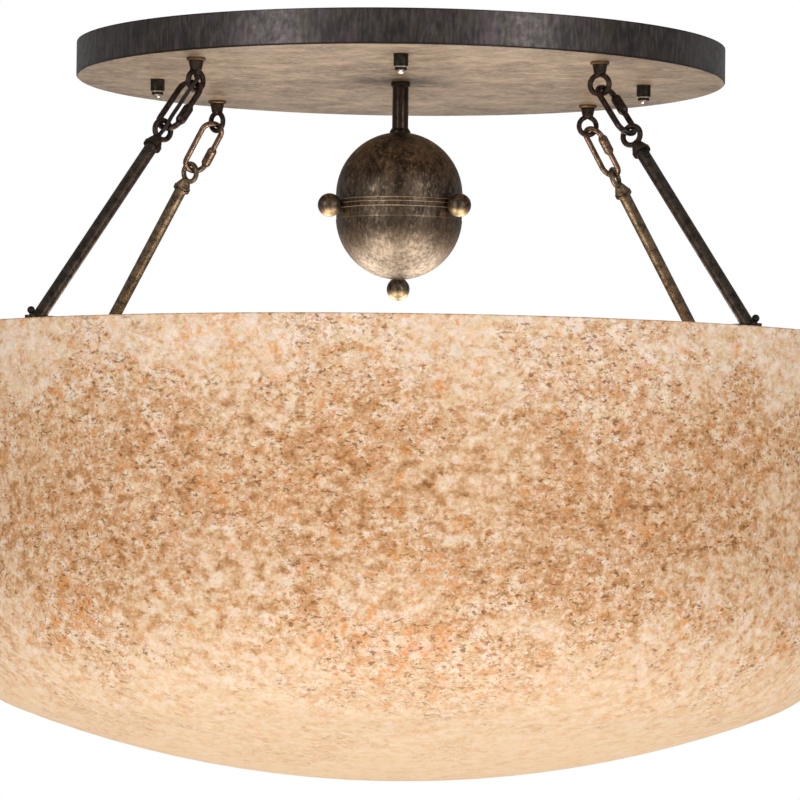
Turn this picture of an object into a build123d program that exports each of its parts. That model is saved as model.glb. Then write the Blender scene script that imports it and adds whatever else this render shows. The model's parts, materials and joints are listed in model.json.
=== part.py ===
"""Semi-flush ceiling light: a shallow drum canopy carries a wide bowl on four slanting rods.

Millimetres, +Z up. The origin is the middle of the canopy's top edge, in the ceiling plane,
and -Y is the front. The four hangers stand a quarter turn apart; each one is an eye bolt, an
oval quick link with a screw sleeve, and a tube rod that leans outward down to the bowl's rim.
"""
import os
from math import acos, asin, atan2, cos, degrees, pi, radians, sin, sqrt, tan

from build123d import *

# ---------------------------------------------------------------- driving dimensions
# Canopy: a spun steel drum, open at the top, with a stiffening ring on its floor.
CANOPY_RADIUS = 325.0
CANOPY_HEIGHT = 34.0
CANOPY_WALL = 1.5
CANOPY_EDGE_RADIUS = 1.2
STIFFENER_STUD_MARGIN = 16.0
STIFFENER_EYE_MARGIN = 25.0
STIFFENER_THICKNESS = 4.0

# Ceiling cross: two flat bars on the ceiling with a round middle plate over the outlet box.
CROSS_BAR_WIDTH = 30.0
CROSS_BAR_THICKNESS = 4.0
CROSS_END_MARGIN = 16.0
CROSS_HUB_RADIUS = 66.0
WIRE_HOLE_RADIUS = 16.0
BOX_SCREW_SPACING = 88.9
BOX_SLOT_LENGTH = 12.0
BOX_SCREW_HOLE_RADIUS = 2.4
CEILING_SCREW_CIRCLE_RADIUS = 150.0
CEILING_SCREW_HOLE_RADIUS = 3.3

# Canopy studs and the round knurled nuts that hold the canopy up.
STUD_EDGE_DISTANCE = 81.0
STUD_RADIUS = 4.0
STUD_TIP_LENGTH = 3.6
STUD_NUT_WIDTH = 13.0
STUD_NUT_HEIGHT = 6.5
CANOPY_NUT_RADIUS = 7.1
CANOPY_NUT_HEIGHT = 12.4
CANOPY_NUT_RIM_HEIGHT = 0.8
CANOPY_NUT_NOSE_RADIUS = 5.8
CANOPY_NUT_NOSE_HEIGHT = 2.8

# Hangers: four chains of eye bolt, quick link and rod, all pulling along one slanting line.
HANGER_FIRST_ANGLE = 44.24
EYE_EDGE_DISTANCE = 50.0
EYE_DROP = 22.0
EYE_WIRE_RADIUS = 2.65
EYE_MEAN_RADIUS = 9.35
EYE_FLANGE_RADIUS = 9.3
EYE_FLANGE_THICKNESS = 2.8
EYE_NECK_TOP_RADIUS = 7.4
EYE_NECK_END_RADIUS = 5.6
EYE_SHANK_RADIUS = 5.0
EYE_NUT_WIDTH = 17.0
EYE_NUT_HEIGHT = 8.0
EYE_SHANK_BEYOND_NUT = 3.0

LINK_WIRE_RADIUS = 2.9
LINK_LENGTH = 65.0
LINK_WIDTH = 27.0
LINK_GAP = 9.0
SLEEVE_RADIUS = 5.0
SLEEVE_LENGTH = 21.0
SLEEVE_CHAMFER = 1.3

ROD_EYE_NECK_RADIUS = 4.6
ROD_EYE_NECK_LENGTH = 8.5
ROD_COLLAR_RADIUS = 8.9
ROD_COLLAR_LENGTH = 5.6
ROD_COLLAR_STEP_RADIUS = 7.6
ROD_COLLAR_STEP_LENGTH = 2.4
ROD_RADIUS = 6.3
ROD_WALL = 2.0
ROD_SPIGOT_LENGTH = 16.0

# How each hanger is turned: the eye about its bolt, the link and the rod's eye about the
# hanger's own line; which leg holds the sleeve, and towards which end it is screwed.
HANGERS = {
    "front_right": dict(eye_turn=30.0, link_twist=0.0, rod_eye_twist=75.0, leg=1, end=-1),
    "back_right": dict(eye_turn=-30.0, link_twist=0.0, rod_eye_twist=63.0, leg=-1, end=-1),
    "back_left": dict(eye_turn=0.0, link_twist=26.0, rod_eye_twist=86.0, leg=-1, end=1),
    "front_left": dict(eye_turn=0.0, link_twist=-25.0, rod_eye_twist=-85.0, leg=1, end=1),
}
CORD_HANGER = "front_left"

# Bowl: a shallow crown, a round shoulder and a steep wall with an inward lip.
RIM_RADIUS = 484.0
RIM_DROP = 295.0
BOWL_DEPTH = 438.0
BOWL_WALL = 5.0
BOWL_CROWN_RADIUS = 1050.0
BOWL_SHOULDER_RADIUS = 160.0
BOWL_WALL_DRAFT = 2.0
LIP_BEYOND_RING = 1.2
LIP_THICKNESS = 5.0

# Steel ring under the lip, rod feet on top of it, and the screws between them.
RING_WIDTH = 31.0
RING_WALL_GAP = 0.8
RING_THICKNESS = 4.0
FOOT_THICKNESS = 3.0
FOOT_WIDTH = 11.5
FOOT_BOSS_LENGTH = 14.0
KNOB_SCREW_BEYOND_ROD = 0.4
KNOB_SCREW_RING_MARGIN = 2.7
KNOB_SCREW_SHANK_RADIUS = 1.6
KNOB_SCREW_NECK_RADIUS = 1.7
KNOB_SCREW_NECK_LENGTH = 1.6
KNOB_SCREW_BALL_RADIUS = 3.6
FOOT_SCREW_RADIUS = 2.5
FOOT_SCREW_HEAD_WIDTH = 8.0
FOOT_SCREW_HEAD_HEIGHT = 3.5
FOOT_SCREW_INSET = 5.5

# Lamp frame: a cross of flat bars under the ring, four lampholders and their lamps.
FRAME_BAR_WIDTH = 25.0
FRAME_BAR_THICKNESS = 4.0
FRAME_BOLT_RADIUS = 3.0
FRAME_BOLT_HEAD_WIDTH = 10.0
FRAME_BOLT_HEAD_HEIGHT = 4.0
LAMP_CIRCLE_RADIUS = 170.0
HOLDER_RADIUS = 21.0
HOLDER_LENGTH = 46.0
HOLDER_BORE_DEPTH = 28.0
NIPPLE_RADIUS = 5.0
NIPPLE_BORE_RADIUS = 3.0
NIPPLE_NUT_WIDTH = 14.0
NIPPLE_NUT_HEIGHT = 3.5
LAMP_CAP_RADIUS = 13.1
LAMP_CAP_LENGTH = 25.0
LAMP_GLOBE_RADIUS = 30.0
LAMP_LENGTH = 108.0

# Centre ball on its stem.
PIPE_RADIUS = 4.9
PIPE_BORE_RADIUS = 3.2
STEM_RADIUS = 8.1
STEM_COLLAR_RADIUS = 9.9
STEM_COLLAR_HEIGHT = 5.0
STEM_FOOT_RADIUS = 10.4
STEM_FOOT_HEIGHT = 4.0
CENTRE_WASHER_RADIUS = 30.0
CENTRE_WASHER_THICKNESS = 3.0
SHELL_WASHER_RADIUS = 14.0
PIPE_NUT_WIDTH = 17.0
PIPE_NUT_HEIGHT = 6.0
BALL_RADIUS = 63.5
BALL_WALL = 1.5
BALL_TOP_DROP = 84.5
BAND_HEIGHT = 25.4
BAND_OVERHANG = 4.4
BAND_SET_IN = 0.5
BAND_WALL = 3.0
BAND_BEAD_RADIUS = 0.7
BAND_BEAD_DROPS = (6.2, 9.9, 14.6)
SIDE_KNOB_FIRST_ANGLE = 52.6
SIDE_KNOB_RADIUS = 11.75
SIDE_KNOB_NECK_RADIUS = 4.5
SIDE_KNOB_SHANK_RADIUS = 2.5
SIDE_KNOB_SHANK_REACH = 12.0
FINIAL_RADIUS = 11.5
FINIAL_NECK_RADIUS = 7.5
FINIAL_NECK_HEIGHT = 1.6
FINIAL_THREAD_DEPTH = 9.0

# Supply cord: from the canopy through one eye bolt, its link and its rod to the lamps.
CORD_RADIUS = 2.0
CORD_CANOPY_LEVEL = -8.0
CORD_CANOPY_REACH = 20.0
CORD_CANOPY_BEND = 8.5
CORD_MOUTH_RUN = 4.6
CORD_RING_MARGIN = 1.2
CORD_TURN_BEFORE = 10.5
CORD_BACK_AFTER = 9.0
CORD_ACROSS = 3.6
CONNECTOR_RADIUS = 5.5
CONNECTOR_LENGTH = 22.0
CONNECTOR_TIP_RADIUS = 3.4
CONNECTOR_BORE_DEPTH = 9.0

# Clearances.
THREAD_CLEARANCE = 0.05
HOLE_CLEARANCE = 0.3
SEAT_GAP = 0.3
LOOP_GAP = 0.6
LAMP_CLEARANCE = 0.4
CORD_CLEARANCE = 0.05

# ---------------------------------------------------------------- levels and places
STUD_CIRCLE_RADIUS = CANOPY_RADIUS - STUD_EDGE_DISTANCE
EYE_CIRCLE_RADIUS = CANOPY_RADIUS - EYE_EDGE_DISTANCE
STIFFENER_INNER_RADIUS = STUD_CIRCLE_RADIUS - STIFFENER_STUD_MARGIN
STIFFENER_OUTER_RADIUS = EYE_CIRCLE_RADIUS + STIFFENER_EYE_MARGIN
FLOOR_TOP = -CANOPY_HEIGHT + CANOPY_WALL
UNDERSIDE = -CANOPY_HEIGHT
STIFFENER_TOP = FLOOR_TOP + STIFFENER_THICKNESS
EYE_LEVEL = UNDERSIDE - EYE_DROP
EYE_SHANK_TOP = STIFFENER_TOP + EYE_NUT_HEIGHT + EYE_SHANK_BEYOND_NUT
EYE_BORE_RADIUS = CORD_RADIUS + CORD_CLEARANCE
LIP_TOP = -RIM_DROP
LIP_BOTTOM = LIP_TOP - LIP_THICKNESS
RING_BOTTOM = LIP_BOTTOM - RING_THICKNESS
FRAME_BOTTOM = RING_BOTTOM - FRAME_BAR_THICKNESS
FOOT_TOP = LIP_TOP + FOOT_THICKNESS
BOWL_BOTTOM = LIP_TOP - BOWL_DEPTH
RIM_INNER_RADIUS = RIM_RADIUS - BOWL_WALL
RING_OUTER_RADIUS = RIM_INNER_RADIUS - RING_WALL_GAP
RING_INNER_RADIUS = RING_OUTER_RADIUS - RING_WIDTH
RING_BOLT_RADIUS = RING_OUTER_RADIUS - RING_WIDTH / 2
LIP_INNER_RADIUS = RING_INNER_RADIUS - LIP_BEYOND_RING
KNOB_SCREW_CIRCLE = RING_OUTER_RADIUS - KNOB_SCREW_RING_MARGIN
FOOT_SCREW_CIRCLE = RING_INNER_RADIUS + FOOT_SCREW_INSET
BAND_RADIUS = BALL_RADIUS - BAND_SET_IN
BALL_UPPER_CENTRE = -BALL_TOP_DROP - BALL_RADIUS
BAND_TOP = BALL_UPPER_CENTRE
BAND_BOTTOM = BAND_TOP - BAND_HEIGHT
BALL_LOWER_CENTRE = BAND_BOTTOM + BAND_OVERHANG
BALL_BOTTOM = BALL_LOWER_CENTRE - BALL_RADIUS
FINIAL_NECK_TOP = BALL_BOTTOM - SEAT_GAP
FINIAL_CENTRE = FINIAL_NECK_TOP - FINIAL_NECK_HEIGHT + 1.0 - sqrt(FINIAL_RADIUS**2 - FINIAL_NECK_RADIUS**2)
KNOB_LEVEL = (BAND_TOP + BAND_BOTTOM) / 2
HOLDER_BOTTOM = FRAME_BOTTOM - HOLDER_LENGTH
HOLDER_BORE_RADIUS = LAMP_CAP_RADIUS + LAMP_CLEARANCE
LINK_END_RADIUS = LINK_WIDTH / 2 - LINK_WIRE_RADIUS
LINK_HALF_LEG = (LINK_LENGTH - LINK_WIDTH) / 2
SLEEVE_TRAVEL = 2 * LINK_HALF_LEG - SLEEVE_LENGTH

# The rods lean so that each one's outer face meets its foot plate beside the knob screw.
ROD_FACE_REACH = KNOB_SCREW_CIRCLE - KNOB_SCREW_SHANK_RADIUS - KNOB_SCREW_BEYOND_ROD - EYE_CIRCLE_RADIUS
ROD_DROP = EYE_LEVEL - FOOT_TOP
ROD_LEAN = acos(ROD_RADIUS / sqrt(ROD_FACE_REACH**2 + ROD_DROP**2)) - atan2(ROD_DROP, ROD_FACE_REACH)
HANGER_LEAN = degrees(ROD_LEAN)

PARTS = {}


def keep(name, shape):
    """Files one finished piece, or one group of like pieces, under its node name."""
    PARTS[name] = shape


# ---------------------------------------------------------------- shared makers
def turned(points):
    """A solid of revolution about Z from a closed outline of (radius, height) points."""
    outline = Polyline(*[(r, 0, z) for r, z in points], close=True)
    return revolve(make_face(outline), Axis.Z)


def rod_between(start, end, radius):
    """A straight round bar between two points."""
    axis = Vector(*end) - Vector(*start)
    seat = Plane(origin=start, z_dir=axis)
    return seat * Cylinder(radius, axis.length, align=(Align.CENTER, Align.CENTER, Align.MIN))


def disc(radius, bottom, top):
    """A round disc about Z between two levels."""
    return rod_between((0, 0, bottom), (0, 0, top), radius)


def hexagon(width, bottom, top):
    """A hexagon prism of a given width across flats between two levels."""
    sketch = RegularPolygon(width / 2, 6, major_radius=False)
    return Pos(0, 0, bottom) * extrude(sketch, top - bottom)


def around(shape, radius, count, first_angle=0.0):
    """Copies of a shape moved out to a circle, the first one at an angle from the front."""
    step = 360 / count
    return [Rot(0, 0, first_angle + i * step) * Pos(0, -radius, 0) * shape for i in range(count)]


def bored(shape, places, radius, bottom, top):
    """The shape with the same upright hole at each (x, y) place."""
    for x, y in places:
        shape = shape - Pos(x, y, 0) * disc(radius, bottom, top)
    return shape


def circle_places(radius, count, first_angle=0.0):
    """(x, y) places on a circle, the first one at an angle from the front, anticlockwise."""
    angles = [radians(first_angle + i * 360 / count) for i in range(count)]
    return [(radius * sin(a), -radius * cos(a)) for a in angles]


# ---------------------------------------------------------------- hanger geometry
class Hanger:
    """One slanting hanger line and the frame that its eye, link and rod are built in.

    Distances along the line count from the point where it crosses the level of the eyes.
    """

    def __init__(self, index, eye_turn, link_twist, rod_eye_twist, leg, end):
        self.angle = HANGER_FIRST_ANGLE + 90 * index
        angle = radians(self.angle)
        lean = radians(HANGER_LEAN)
        self.out = Vector(sin(angle), -cos(angle), 0)
        self.side = Vector(cos(angle), sin(angle), 0)
        self.down = self.out * sin(lean) - Vector(0, 0, cos(lean))
        self.across = self.out * cos(lean) + Vector(0, 0, sin(lean))
        self.start = self.out * EYE_CIRCLE_RADIUS + Vector(0, 0, EYE_LEVEL)
        self.leg = leg
        self.end = end
        self.eye_angle = self.angle - 90 + eye_turn
        self.eye_dir = self.out * cos(radians(eye_turn)) + self.side * sin(radians(eye_turn))
        self.link_dir = self.twisted(link_twist)
        self.rod_eye_dir = self.twisted(rod_eye_twist)
        self.place_eye()
        reach = EYE_WIRE_RADIUS + LINK_WIRE_RADIUS + LOOP_GAP
        self.link_top = self.seat - reach
        self.link_bottom = self.link_top + 2 * (LINK_HALF_LEG + LINK_END_RADIUS)
        self.link_centre = (self.link_top + self.link_bottom) / 2
        self.rod_eye_top = self.link_bottom - reach
        self.rod_eye_centre = self.rod_eye_top + EYE_MEAN_RADIUS
        self.rod_eye_end = self.rod_eye_centre + EYE_MEAN_RADIUS - EYE_WIRE_RADIUS / 2
        self.rod_start = self.rod_eye_end + ROD_EYE_NECK_LENGTH + ROD_COLLAR_LENGTH

    def place_eye(self):
        """Stands the eye bolt so that the lowest reach of its ring lies on the hanger's line."""
        pull = Vector(self.down.dot(self.eye_dir), self.down.Z).normalized()
        self.seat = pull.Y * EYE_MEAN_RADIUS / self.down.Z
        ring_offset = (self.eye_dir * pull.X + Vector(0, 0, pull.Y)) * EYE_MEAN_RADIUS
        self.eye_centre = self.at(self.seat) - ring_offset

    def twisted(self, angle):
        """The side direction turned about the hanger's line."""
        return self.side * cos(radians(angle)) + self.across * sin(radians(angle))

    def at(self, along, side=0.0, across=0.0):
        """A point given along, beside and across the hanger's line."""
        return self.start + self.down * along + self.side * side + self.across * across

    def frame(self, along, across_dir):
        """A plane whose X runs down the hanger and whose Y is the given direction."""
        normal = self.down.cross(across_dir)
        return Plane(origin=self.at(along), x_dir=self.down, z_dir=normal)

    def along_at_level(self, level):
        """How far down the line a level lies."""
        return (level - EYE_LEVEL) / self.down.Z

    def radius_at_level(self, level):
        """How far from the middle axis the line is at a level."""
        return EYE_CIRCLE_RADIUS + self.along_at_level(level) * sin(radians(HANGER_LEAN))


def all_hangers():
    """The four hangers by name."""
    return {name: Hanger(i, **turns) for i, (name, turns) in enumerate(HANGERS.items())}


# ---------------------------------------------------------------- canopy and ceiling cross
def make_ceiling_cross():
    """Two crossing flat bars with a middle plate, on the ceiling."""
    length = 2 * (STUD_CIRCLE_RADIUS + CROSS_END_MARGIN)
    size = (length, CROSS_BAR_WIDTH, CROSS_BAR_THICKNESS)
    lift = Pos(0, 0, -CROSS_BAR_THICKNESS / 2)
    cross = lift * Box(*size) + lift * Rot(0, 0, 90) * Box(*size)
    cross = cross + disc(CROSS_HUB_RADIUS, -CROSS_BAR_THICKNESS, 0)
    bottom = -CROSS_BAR_THICKNESS - 1
    cross = cross - disc(WIRE_HOLE_RADIUS, bottom, 1)
    slot = SlotCenterToCenter(BOX_SLOT_LENGTH, 2 * BOX_SCREW_HOLE_RADIUS)
    for side in (-1, 1):
        place = Pos(side * BOX_SCREW_SPACING / 2, 0, bottom)
        cross = cross - place * extrude(slot, CROSS_BAR_THICKNESS + 2)
    cross = bored(cross, circle_places(CEILING_SCREW_CIRCLE_RADIUS, 4), CEILING_SCREW_HOLE_RADIUS, bottom, 1)
    cross = bored(cross, circle_places(STUD_CIRCLE_RADIUS, 4), STUD_RADIUS + THREAD_CLEARANCE, bottom, 1)
    keep("ceiling_cross", cross)


def make_canopy(hangers):
    """The spun drum and the stiffening ring on its floor."""
    inner = CANOPY_RADIUS - CANOPY_WALL
    edge = CANOPY_EDGE_RADIUS
    pan = turned([
        (0, UNDERSIDE), (CANOPY_RADIUS - edge, UNDERSIDE), (CANOPY_RADIUS, UNDERSIDE + edge),
        (CANOPY_RADIUS, 0), (inner, 0), (inner, FLOOR_TOP), (0, FLOOR_TOP),
    ])
    stiffener = disc(STIFFENER_OUTER_RADIUS, FLOOR_TOP, STIFFENER_TOP)
    stiffener = stiffener - disc(STIFFENER_INNER_RADIUS, FLOOR_TOP - 1, STIFFENER_TOP + 1)
    studs = circle_places(STUD_CIRCLE_RADIUS, 4)
    eyes = [(hanger.eye_centre.X, hanger.eye_centre.Y) for hanger in hangers.values()]
    holes = [(studs, STUD_RADIUS + HOLE_CLEARANCE), (eyes, EYE_SHANK_RADIUS + HOLE_CLEARANCE)]
    for places, radius in holes:
        pan = bored(pan, places, radius, UNDERSIDE - 1, FLOOR_TOP + 1)
        stiffener = bored(stiffener, places, radius, FLOOR_TOP - 1, STIFFENER_TOP + 1)
    pipe_hole = PIPE_RADIUS + THREAD_CLEARANCE
    keep("canopy_pan", bored(pan, [(0, 0)], pipe_hole, UNDERSIDE - 1, FLOOR_TOP + 1))
    keep("canopy_stiffener_ring", stiffener)


def make_studs_and_nuts():
    """Studs with domed tips, their lock nuts under the cross, and the four canopy nuts."""
    nut_bottom = UNDERSIDE - SEAT_GAP - CANOPY_NUT_HEIGHT - CANOPY_NUT_NOSE_HEIGHT
    tip_start = nut_bottom - 0.4
    dome_radius = STUD_TIP_LENGTH - 0.4
    stud = turned([
        (0, 0), (STUD_RADIUS, 0), (STUD_RADIUS, tip_start),
        (STUD_RADIUS * 0.88, tip_start - dome_radius * 0.55),
        (STUD_RADIUS * 0.5, tip_start - dome_radius * 0.9), (0, tip_start - dome_radius),
    ])
    keep("canopy_studs", Compound(children=around(stud, STUD_CIRCLE_RADIUS, 4)))
    lock_top = -CROSS_BAR_THICKNESS
    lock = hexagon(STUD_NUT_WIDTH, lock_top - STUD_NUT_HEIGHT, lock_top)
    lock = lock - disc(STUD_RADIUS + THREAD_CLEARANCE, lock_top - STUD_NUT_HEIGHT - 1, 0)
    keep("stud_lock_nuts", Compound(children=around(lock, STUD_CIRCLE_RADIUS, 4)))
    top = UNDERSIDE - SEAT_GAP
    rim = top - CANOPY_NUT_HEIGHT
    groove = CANOPY_NUT_RADIUS - 0.5
    nut = turned([
        (STUD_RADIUS + THREAD_CLEARANCE, top), (CANOPY_NUT_RADIUS, top),
        (CANOPY_NUT_RADIUS, rim + 2 * CANOPY_NUT_RIM_HEIGHT), (groove, rim + 1.6 * CANOPY_NUT_RIM_HEIGHT),
        (groove, rim + CANOPY_NUT_RIM_HEIGHT), (CANOPY_NUT_RADIUS, rim + 0.7 * CANOPY_NUT_RIM_HEIGHT),
        (CANOPY_NUT_RADIUS, rim), (CANOPY_NUT_NOSE_RADIUS, rim),
        (CANOPY_NUT_NOSE_RADIUS, nut_bottom), (STUD_RADIUS + THREAD_CLEARANCE, nut_bottom),
    ])
    for name, piece in zip(("front", "right", "back", "left"), around(nut, STUD_CIRCLE_RADIUS, 4)):
        keep(f"canopy_nut_{name}", piece)


# ---------------------------------------------------------------- hangers
def make_eye_bolt():
    """A flanged, hollow eye bolt about its ring's middle: ring, neck, flange and shank."""
    ring = Rot(90, 0, 0) * Torus(EYE_MEAN_RADIUS, EYE_WIRE_RADIUS)
    underside = UNDERSIDE - EYE_LEVEL
    flange_bottom = underside - EYE_FLANGE_THICKNESS
    shank_top = EYE_SHANK_TOP - EYE_LEVEL
    neck_end = EYE_MEAN_RADIUS - EYE_WIRE_RADIUS / 2
    body = turned([
        (0, neck_end), (EYE_NECK_END_RADIUS * 0.6, neck_end), (EYE_NECK_END_RADIUS, neck_end + 2.2),
        (EYE_NECK_TOP_RADIUS, flange_bottom), (EYE_FLANGE_RADIUS - 0.5, flange_bottom),
        (EYE_FLANGE_RADIUS, flange_bottom + 0.7), (EYE_FLANGE_RADIUS, underside - 0.7),
        (EYE_FLANGE_RADIUS - 0.5, underside), (EYE_SHANK_RADIUS, underside),
        (EYE_SHANK_RADIUS, shank_top), (0, shank_top),
    ])
    return ring + body - disc(EYE_BORE_RADIUS, 2, shank_top + 1)


def make_quick_link(hanger):
    """The oval wire with a gap in one leg, and the sleeve nut that closes the gap."""
    plane = hanger.frame(hanger.link_centre, hanger.link_dir)
    legs = LINK_HALF_LEG
    wide = LINK_END_RADIUS
    path = (
        Line((-legs, wide), (legs, wide))
        + ThreePointArc((legs, wide), (legs + wide, 0), (legs, -wide))
        + Line((legs, -wide), (-legs, -wide))
        + ThreePointArc((-legs, -wide), (-legs - wide, 0), (-legs, wide))
    )
    section = Plane(origin=path @ 0, z_dir=path % 0) * Circle(LINK_WIRE_RADIUS)
    wire = sweep(section, path=path)
    sleeve_middle = hanger.end * SLEEVE_TRAVEL / 2
    gap_middle = hanger.end * (LINK_HALF_LEG - SLEEVE_LENGTH / 2)
    leg = hanger.leg * wide
    gap = Pos(gap_middle, leg, 0) * Box(LINK_GAP, 3 * LINK_WIRE_RADIUS, 3 * LINK_WIRE_RADIUS)
    link = wire - gap
    half = SLEEVE_LENGTH / 2
    bore = LINK_WIRE_RADIUS + THREAD_CLEARANCE
    sleeve = turned([
        (bore, -half), (SLEEVE_RADIUS - SLEEVE_CHAMFER, -half), (SLEEVE_RADIUS, -half + 2 * SLEEVE_CHAMFER),
        (SLEEVE_RADIUS, half - 2 * SLEEVE_CHAMFER), (SLEEVE_RADIUS - SLEEVE_CHAMFER, half), (bore, half),
    ])
    sleeve = Pos(sleeve_middle, leg, 0) * Rot(0, 90, 0) * sleeve
    return plane * link, plane * sleeve


def make_rod_eye():
    """The hollow eye casting on a rod's top, along X from its ring's middle."""
    start = EYE_MEAN_RADIUS - EYE_WIRE_RADIUS / 2
    step = start + ROD_EYE_NECK_LENGTH + ROD_COLLAR_STEP_LENGTH
    collar_end = start + ROD_EYE_NECK_LENGTH + ROD_COLLAR_LENGTH
    spigot_end = collar_end + ROD_SPIGOT_LENGTH
    spigot = ROD_RADIUS - ROD_WALL - THREAD_CLEARANCE
    body = turned([
        (0, start), (ROD_EYE_NECK_RADIUS * 0.7, start), (ROD_EYE_NECK_RADIUS, start + 1.8),
        (ROD_COLLAR_STEP_RADIUS, start + ROD_EYE_NECK_LENGTH), (ROD_COLLAR_STEP_RADIUS, step - 0.4),
        (ROD_COLLAR_RADIUS, step), (ROD_COLLAR_RADIUS, collar_end), (spigot, collar_end),
        (spigot, spigot_end), (0, spigot_end),
    ])
    eye = Rot(90, 0, 0) * Torus(EYE_MEAN_RADIUS, EYE_WIRE_RADIUS) + body
    eye = eye - disc(EYE_BORE_RADIUS, 2, spigot_end + 1)
    return Rot(90, 0, 0) * Rot(0, 90, 0) * eye


def make_rod(hanger):
    """The rod tube, cut level where it stands on its foot plate."""
    end = hanger.along_at_level(FOOT_TOP)
    beyond = end + 2 * ROD_RADIUS
    tube = rod_between(hanger.at(hanger.rod_start), hanger.at(beyond), ROD_RADIUS)
    tube = tube - rod_between(hanger.at(hanger.rod_start - 1), hanger.at(beyond + 1), ROD_RADIUS - ROD_WALL)
    foot = hanger.at(end)
    cutter = Pos(foot.X, foot.Y, FOOT_TOP) * Box(60, 60, 60, align=(Align.CENTER, Align.CENTER, Align.MAX))
    return tube - cutter


def make_rod_foot(hanger):
    """The foot plate on the lip with a slanting boss inside the rod and a hole for the cord."""
    plate = SlotCenterToCenter(KNOB_SCREW_CIRCLE - FOOT_SCREW_CIRCLE, FOOT_WIDTH)
    plate_middle = (KNOB_SCREW_CIRCLE + FOOT_SCREW_CIRCLE) / 2
    place = Rot(0, 0, hanger.angle - 90) * Pos(plate_middle, 0, LIP_TOP)
    foot = place * extrude(plate, FOOT_THICKNESS)
    start = hanger.along_at_level(FOOT_TOP)
    boss_radius = ROD_RADIUS - ROD_WALL - THREAD_CLEARANCE
    boss = rod_between(hanger.at(start - FOOT_BOSS_LENGTH), hanger.at(start + boss_radius), boss_radius)
    middle = hanger.at(start)
    below = Box(60, 60, 60, align=(Align.CENTER, Align.CENTER, Align.MAX))
    below = Pos(middle.X, middle.Y, FOOT_TOP - 0.1) * below
    foot = foot + (boss - below)
    foot = foot - rod_between(hanger.at(start - FOOT_BOSS_LENGTH - 1), hanger.at(start + 20), EYE_BORE_RADIUS)
    holes = ((KNOB_SCREW_CIRCLE, KNOB_SCREW_SHANK_RADIUS), (FOOT_SCREW_CIRCLE, FOOT_SCREW_RADIUS))
    for radius, shank in holes:
        place = (radius * hanger.out.X, radius * hanger.out.Y)
        foot = bored(foot, [place], shank + THREAD_CLEARANCE, LIP_TOP - 1, FOOT_TOP + 1)
    return foot


def make_knob_screw():
    """A ball-headed screw that clamps the foot plate, the lip and the ring together."""
    neck_top = FOOT_TOP + KNOB_SCREW_NECK_LENGTH
    centre = neck_top + KNOB_SCREW_BALL_RADIUS - 0.5
    screw = turned([
        (0, RING_BOTTOM), (KNOB_SCREW_SHANK_RADIUS, RING_BOTTOM), (KNOB_SCREW_SHANK_RADIUS, FOOT_TOP),
        (KNOB_SCREW_NECK_RADIUS + 0.2, FOOT_TOP), (KNOB_SCREW_NECK_RADIUS, neck_top),
        (KNOB_SCREW_NECK_RADIUS, centre), (0, centre),
    ])
    return screw + Pos(0, 0, centre) * Sphere(KNOB_SCREW_BALL_RADIUS)


def make_hangers(hangers):
    """All four hangers, their nuts and the screws at their feet."""
    bolt = make_eye_bolt()
    rod_eye = make_rod_eye()
    nut = hexagon(EYE_NUT_WIDTH, STIFFENER_TOP, STIFFENER_TOP + EYE_NUT_HEIGHT)
    nut = nut - disc(EYE_SHANK_RADIUS + THREAD_CLEARANCE, STIFFENER_TOP - 1, 0)
    centres = [hanger.eye_centre for hanger in hangers.values()]
    keep("eye_bolt_nuts", Compound(children=[Pos(eye.X, eye.Y, 0) * nut for eye in centres]))
    for name, hanger in hangers.items():
        link, sleeve = make_quick_link(hanger)
        keep(f"eye_bolt_{name}", Pos(*hanger.eye_centre) * Rot(0, 0, hanger.eye_angle) * bolt)
        keep(f"quick_link_{name}", link)
        keep(f"link_sleeve_{name}", sleeve)
        keep(f"rod_eye_{name}", hanger.frame(hanger.rod_eye_centre, hanger.rod_eye_dir) * rod_eye)
        keep(f"rod_{name}", make_rod(hanger))
    keep("rod_feet", Compound(children=[make_rod_foot(hanger) for hanger in hangers.values()]))
    knob_screws = around(make_knob_screw(), KNOB_SCREW_CIRCLE, 4, HANGER_FIRST_ANGLE)
    keep("knob_screws", Compound(children=knob_screws))
    head = hexagon(FOOT_SCREW_HEAD_WIDTH, RING_BOTTOM - FOOT_SCREW_HEAD_HEIGHT, RING_BOTTOM)
    foot_screw = head + disc(FOOT_SCREW_RADIUS, RING_BOTTOM - 0.5, FOOT_TOP)
    keep("foot_screws", Compound(children=around(foot_screw, FOOT_SCREW_CIRCLE, 4, HANGER_FIRST_ANGLE)))


# ---------------------------------------------------------------- supply cord
def cord_bends(points, share):
    """The largest fillet radii that leave every straight run of a route some length."""
    radii = []
    for before, corner, after in zip(points, points[1:], points[2:]):
        arriving = corner - before
        leaving = after - corner
        turn = radians(arriving.get_angle(leaving))
        shorter = min(arriving.length, leaving.length)
        radii.append(share * shorter / tan(turn / 2))
    return radii


def cord_tube(points, radii):
    """A round cord along straight runs joined by arcs."""
    path = FilletPolyline(*points, radius=radii)
    section = Plane(origin=path @ 0, z_dir=path % 0) * Circle(CORD_RADIUS)
    return sweep(section, path=path), path.length


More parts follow.
